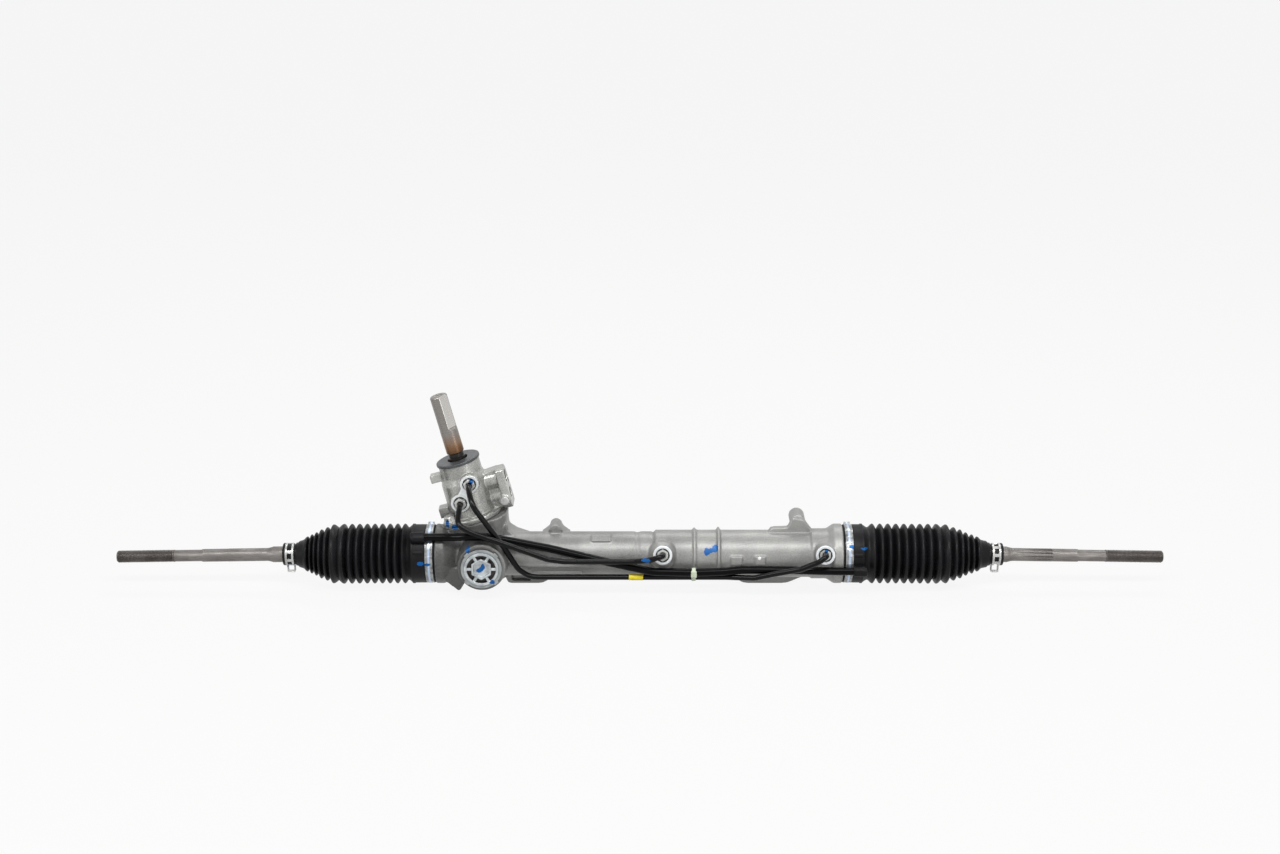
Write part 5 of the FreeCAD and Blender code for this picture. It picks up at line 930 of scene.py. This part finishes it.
def makeInputShaft():
    # turned bar: radius is the smaller of the round bar and the flat's distance over the cosine of the
    # turn from it
    radius, top, bore, end = [inputShaft[key] for key in ("radius", "top", "bore", "endRadius")]
    low, high = inputShaft["neck"]
    neck, runout = inputShaft["neckRadius"], inputShaft["flatBottom"]
    corners = np.array([
        (45.0, bore), (45.0, 6.5), (51.5, 6.5), (51.5, 12.0), (94.6, 12.0), (95.0, 11.6), (95.0, radius),
        (low, radius), (low + 0.6, neck), (high - 1.2, neck), (high, radius), (high + 0.3, radius),
        (runout - 3.0, radius), (runout - 2.8, end), (runout - 2.5, end), (runout - 1.8, end),
        (runout - 0.9, end), (runout, end),
        (top - 1.4, end), (top - 0.4, end - 0.6), (top, end - 1.5), (top, bore + 0.9), (top - 1.0, bore)])
    along, radii = corners[:, :1], corners[:, 1:]
    depth = np.interp(along, [runout - 3.0, runout - 2.5, runout - 1.8, runout - 0.9, runout],
                      [0.0, 0.55, 1.3, 1.85, inputShaft["flatDepth"]])
    towards = np.maximum(np.cos(circleOfTurns(120) - inputShaft["flatTurn"]), 0.05)
    # the flat cuts only the outside of the bar above its wide rotor end
    outside = (radii > 7.0) & (along > 96.0)
    cut = np.where(outside, np.minimum(radii, (radius - depth) / towards), radii)
    shaft = turned((pinionFoot, pinionAxis, pinionAcross), along, cut, 120, True)
    makePiece("inputShaft", [shaft], "shaft", "input_shaft", ("input_shaft",), 30.0)


def makeTorsionBar():
    # the torsion bar, one softened piece; in the real gear it twists, its foot turning with the pinion and its
    # pinned head with the input shaft
    bar = softenedCopy("torsionBar", "torsion_bar", 0.4, "ground", None, 2)
    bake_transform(bar)


makeInputShaft()
makeTorsionBar()
print("input shaft made")


# Pipes and their nuts

portAngle = math.radians(17.0)
portOut = np.array([0.0, -math.cos(portAngle), math.sin(portAngle)])
alongBar = np.array([1.0, 0.0, 0.0])
ports = {"middle": 25.5, "right": 208.0, "face": 36.0, "recess": 7.0}
valvePorts = {"upper": (88.0, 9.0), "lower": (69.0, -7.0), "pad": -30.0, "recess": 4.0}
pipes = {
    "radius": 3.175, "bend": 22.0, "breatherRadius": 4.5, "breatherBend": 60.0, "breatherOut": 38.75,
    "long": [
        (-185.5, -45.5, 73), (-172, -43.2, 53), (-152, -39.3, 22), (-137, -35, -5.5), (-124, -30.5, -17.0),
        (98, -30.5, -17.0), (128, -37.5, -15.6), (152, -41.0, -9.0), (180, -44.0, -2.5), (200, -49.5, 8.5)],
    "short": [
        (-203, -45, 51), (-187, -47.8, 42.5), (-157, -48.3, 31.5), (-103, -42.8, 8.8), (-85, -40.0, 5.2),
        (-8, -40.0, 5.2), (12, -45, 9)],
    "breather": [
        (-191, -35.2, 33.2), (-171, -35.2, 33.2), (-154, -30.2, 28.0), (-102, -27.8, 16.5), (-45, -31, 3.2),
        (14, -35.3, -8.8), (60.3, -35.2, -9.9), (92, -34.4, -9.2), (114, -31.6, -8.0), (180, -31.2, -8.8),
        (203, -36.0, -7.6)],
}


def portPoint(x, reach):
    return x * alongBar + reach * portOut


def valvePortPoint(which, front):
    along, across = valvePorts[which]
    return onPinion(across, front, along)


def breatherPoint(side, distance):
    sizes = bootSides[side]
    lift, out = sizes["breather"], pipes["breatherOut"]
    x = sizes["side"] * (sizes["flange"] + distance)
    return np.array([x, -out * math.cos(lift), out * math.sin(lift)])


def makePipes():
    longRoute = [valvePortPoint("upper", -24), valvePortPoint("upper", -44)] + pipes["long"] + [
        portPoint(ports["right"], 50), portPoint(ports["right"], 27)]
    shortRoute = [valvePortPoint("lower", -24), valvePortPoint("lower", -42)] + pipes["short"] + [
        portPoint(ports["middle"], 49), portPoint(ports["middle"], 27)]
    breatherRoute = [breatherPoint("left", 23), breatherPoint("left", -14)] + pipes["breather"] + [
        breatherPoint("right", -8), breatherPoint("right", 23)]
    for name, node, route, radius, bend, finish in [
            ("longPipe", "long_pipe", longRoute, pipes["radius"], pipes["bend"], "pipe"),
            ("shortPipe", "short_pipe", shortRoute, pipes["radius"], pipes["bend"], "shortPipe"),
            ("breatherTube", "breather_tube", breatherRoute, pipes["breatherRadius"], pipes["breatherBend"],
             "hose")]:
        tube = tubeAlong(routePoints(route, bend, 14), radius, 32)
        makePiece(name, [tube], finish, "housing", (node,), 50.0)


nut = {"across": 12.0, "height": 8.0, "chamfer": 1.2, "bore": 3.2}
bolt = {
    "across": 12.0, "height": 6.0, "chamfer": 1.3, "bore": 0.05, "fromAxis": 31.0, "turn": math.radians(213.0),
    "level": 48.0, "flange": 7.9, "shank": 3.9, "depth": 26.0,
}


def hexHead(seat, sizes):
    # hexagon: radius = half width over cos of the turn from the nearest flat, cut by a chamfer cone at
    # the top
    across, top, chamfer, bore = [sizes[key] for key in ("across", "height", "chamfer", "bore")]
    turns = circleOfTurns(96)
    flat = across / 2 / np.cos((turns + math.pi / 6) % (math.pi / 3) - math.pi / 6)
    corner = across / math.sqrt(3)
    slope = [top - chamfer, top - chamfer * 0.66, top - chamfer * 0.33]
    place = np.array([0.0, 0.0] + slope + [top, top, top - 1.2])[:, None]
    cone = corner - (place - (top - chamfer)) / chamfer * (corner - across / 2 + 0.4)
    radii = np.minimum(flat, np.maximum(cone, across / 2 - 0.5))
    radii[[0, -1]] = bore
    radii[-2] = bore + 0.7
    return turned(seat, place, radii, 96, bore > 0.1)


def makeNuts():
    valveLevel, portLevel = valvePorts["pad"] + valvePorts["recess"], ports["face"] - ports["recess"]
    valveNuts = [hexHead((valvePortPoint(which, valveLevel), towardsFront, pinionAcross), nut)
                 for which in ("upper", "lower")]
    cylinderNuts = [hexHead((portPoint(ports[which], portLevel), portOut, alongBar), nut)
                    for which in ("middle", "right")]
    bolts = []
    across, front = bolt["fromAxis"] * math.cos(bolt["turn"]), bolt["fromAxis"] * math.sin(bolt["turn"])
    for sign in (1, -1):
        seat = (onPinion(sign * across, sign * front, bolt["level"]), pinionAxis, pinionAcross)
        flange = [(0.0, 0.01), (0.0, bolt["flange"], 0.2), (1.1, bolt["flange"] - 0.3, 0.3), (1.1, 0.01)]
        shank = [(-bolt["depth"], 0.01), (-bolt["depth"], bolt["shank"]), (0.0, bolt["shank"]), (0.0, 0.01)]
        bolts += [hexHead(seat, bolt), turnedBody(seat, flange), turnedBody(seat, shank, 32)]
    for name, node, parts in [
            ("valvePipeNuts", "valve_pipe_nuts", valveNuts),
            ("cylinderPipeNuts", "cylinder_pipe_nuts", cylinderNuts),
            ("valveHousingBolts", "valve_housing_bolts", bolts)]:
        makePiece(name, parts, "boltZinc", "housing", (node,), 30.0)


portFace = {"inner": 7.7, "shoulder": 10.2, "outer": 10.9}
stripFace = {"start": -120.6, "end": -65.4, "front": -21.5, "middle": -15.5, "half": 2.1}
padFace = {"inner": 7.75, "outer": 10.3, "waist": 6.3}


def makePortFaces():
    # milled rings round the two cylinder ports, a hair proud of the casting
    corners = [(-0.8, portFace["inner"]), (0.05, portFace["inner"], 0.3), (0.12, portFace["shoulder"], 0.3),
               (-0.8, portFace["outer"])]
    rings = [turnedBody((portPoint(ports[which], ports["face"]), portOut, alongBar), corners, 72, True)
             for which in ("middle", "right")]
    makePiece("portFaces", rings, "milled", "housing", (), 30.0)


def makeStripFace():
    # strip low on the rack tube's front, pale with painted light: a flat bar with rounded ends and edges
    low, high, front, middle, half = [stripFace[key] for key in ("start", "end", "front", "middle", "half")]
    cosine, sine = np.cos(circleOfTurns(48)), np.sin(circleOfTurns(48))
    edge = np.stack([np.where(cosine > 0, high - half, low + half) + half * cosine, half * sine], axis=1)
    centre = np.array([(low + high) / 2, 0.0])
    rows = []
    for shrink, lift in ((0.0, -1.0), (0.0, 0.05), (0.25, 0.16)):
        line = edge - np.sign(edge - centre) * shrink
        rows.append(np.stack([line[:, 0], np.full(len(edge), front - lift), middle + line[:, 1]], axis=1))
    makePiece("stripFace", [surface(np.stack(rows))], "paintedLightCasting", "housing", (), 30.0)


def makePadFace():
    # milled dumbbell face round the valve ports: in each direction the edge is the pad's circle, or the waist
    # on the side of the other port, whichever lies further out
    centres = {name: np.array(valvePorts[name][::-1]) for name in ("upper", "lower")}
    turns = circleOfTurns(96)
    faces = []
    for name, other in (("upper", "lower"), ("lower", "upper")):
        gap = centres[other] - centres[name]
        fromGap = turns - math.atan2(gap[1], gap[0])
        waist = np.minimum(np.linalg.norm(gap) / 2 / np.maximum(np.cos(fromGap), 1e-3),
                           padFace["waist"] / np.maximum(np.abs(np.sin(fromGap)), 1e-3))
        edge = np.maximum(padFace["outer"], np.where(np.cos(fromGap) > 0.05, waist, 0.0))
        inner = np.full_like(edge, padFace["inner"])
        rows = [(inner, -0.7), (inner, 0.03), (inner + 0.3, 0.09), (edge - 0.4, 0.09), (edge, 0.02),
                (edge, -0.7)]
        points = np.stack([onPinion((centres[name][0] + r * np.cos(turns))[:, None], valvePorts["pad"] - lift,
                                    (centres[name][1] + r * np.sin(turns))[:, None]) for r, lift in rows])
        faces.append(surface(points, True))
    makePiece("valvePadFace", faces, "milled", "housing", (), 30.0)


markerSleeve = {"start": (-12.5, -30.5, -17.0), "length": 16.0, "bore": 3.2, "radius": 3.55}


def makeMarkerSleeve():
    length, bore, radius = markerSleeve["length"], markerSleeve["bore"], markerSleeve["radius"]
    tube = turnedBody((markerSleeve["start"], alongBar, (0.0, 0.0, 1.0)),
                      [(0.0, bore), (0.0, radius, 0.1), (length, radius, 0.1), (length, bore)], 32, True)
    makePiece("markerSleeve", [tube], "tape", "housing", ("marker_sleeve",), 30.0)


makePipes()
makeNuts()
makePortFaces()
makeStripFace()
makePadFace()
makeMarkerSleeve()
print("pipes, nuts and port faces made")


# Finishes of the pieces that stay as they are

keptFinishes = {
    "ground": ["input_bearing", "pinion_upper_bearing", "lower_bearing_outer", "lower_bearing_inner",
               "lower_bearing_balls", "rack_bar", "pinion", "valve_sleeve", "torsion_bar_pin", "piston",
               "yoke_spring"],
    "zinc": ["bush_snap_ring", "pinion_nut", "cylinder_port_seats"],
    "rod": ["left_ball_socket", "right_ball_socket"],
    "milled": ["support_yoke", "end_bush"],
    "seal": ["input_seal", "pinion_seal", "yoke_o_ring", "inner_cylinder_seal", "end_bush_seal",
             "end_bush_o_ring"],
    "ringPlastic": ["yoke_liner", "piston_ring", "sleeve_rings"],
    "race": ["left_ball_race", "right_ball_race"],
}
for finish, names in keptFinishes.items():
    for name in names:
        for materialSlot in nodes[name].material_slots:
            materialSlot.material = finishes[finish]
print("kept pieces finished")


# Floor, lamps and background

studio = {
    "floor": "#BEBEBC", "floorSize": 14.0, "floorLevel": -0.0006, "glow": 0.9, "world": 0.12,
    "key": 31.0, "fill": 8.0, "left": 9.0, "back": 15.0,
}
white = (1, 1, 1, 1)


def seenRays(add):
    # 1 for the rays that the picture is made of: straight ones, mirrored ones and those through glass
    rays = add("rays").node.outputs
    seen = add("math", rays["Is Camera Ray"], rays["Is Glossy Ray"], operation="MAXIMUM")
    return add("math", seen, rays["Is Transmission Ray"], operation="MAXIMUM")


def makeStudio():
    size, level = studio["floorSize"], studio["floorLevel"]
    mesh = bpy.data.meshes.new("floor")
    corners = [(-size, -size, level), (size, -size, level), (size, size, level), (-size, size, level)]
    mesh.from_pydata(corners, [], [(0, 1, 2, 3)])
    floor = bpy.data.objects.new("floor", mesh)
    bpy.context.scene.collection.objects.link(floor)
    # pale paper: most of it glows, but only for the eye, so that it stays even and lights nothing
    material, add, shader = startMaterial("paleFloor", {"Base Color": studio["floor"], "Roughness": 0.8})[:3]
    share = add("math", seenRays(add), studio["glow"], operation="MULTIPLY")
    paper = add("mixShader", share, shader.outputs[0], add("glow", white, 1.0))
    feed(material.node_tree.nodes["Material Output"], {"Surface": paper})
    mesh.materials.append(material)
    world = bpy.data.worlds.new("studio")
    bpy.context.scene.world = world
    world.use_nodes = True
    add = functools.partial(addNode, world.node_tree)
    strength = add("range", seenRays(add), 0.0, 1.0, studio["world"], 1.0)
    feed(world.node_tree.nodes["Background"], {"Strength": strength, "Color": white})


def addLamp(name, place, target, size, power):
    data = bpy.data.lights.new(name, "AREA")
    data.shape, data.size, data.size_y, data.energy = "RECTANGLE", size[0], size[1], power
    lamp = bpy.data.objects.new(name, data)
    lamp.location = place
    lamp.rotation_euler = (Vector(target) - Vector(place)).to_track_quat("-Z", "Y").to_euler()
    bpy.context.scene.collection.objects.link(lamp)


makeStudio()
addLamp("key", (0.1, -1.05, 1.5), (0.05, 0.0, 0.05), (2.2, 0.26), studio["key"])
addLamp("fill", (1.4, -1.7, 0.5), (0.0, 0.0, 0.05), (0.5, 1.2), studio["fill"])
addLamp("left", (-1.7, -1.2, 0.8), (-0.1, 0.0, 0.05), (0.25, 1.0), studio["left"])
addLamp("back", (0.2, 1.05, 1.7), (0.0, 0.0, 0.05), (2.2, 0.3), studio["back"])
bpy.context.scene.view_settings.view_transform = "Standard"
print("studio made")
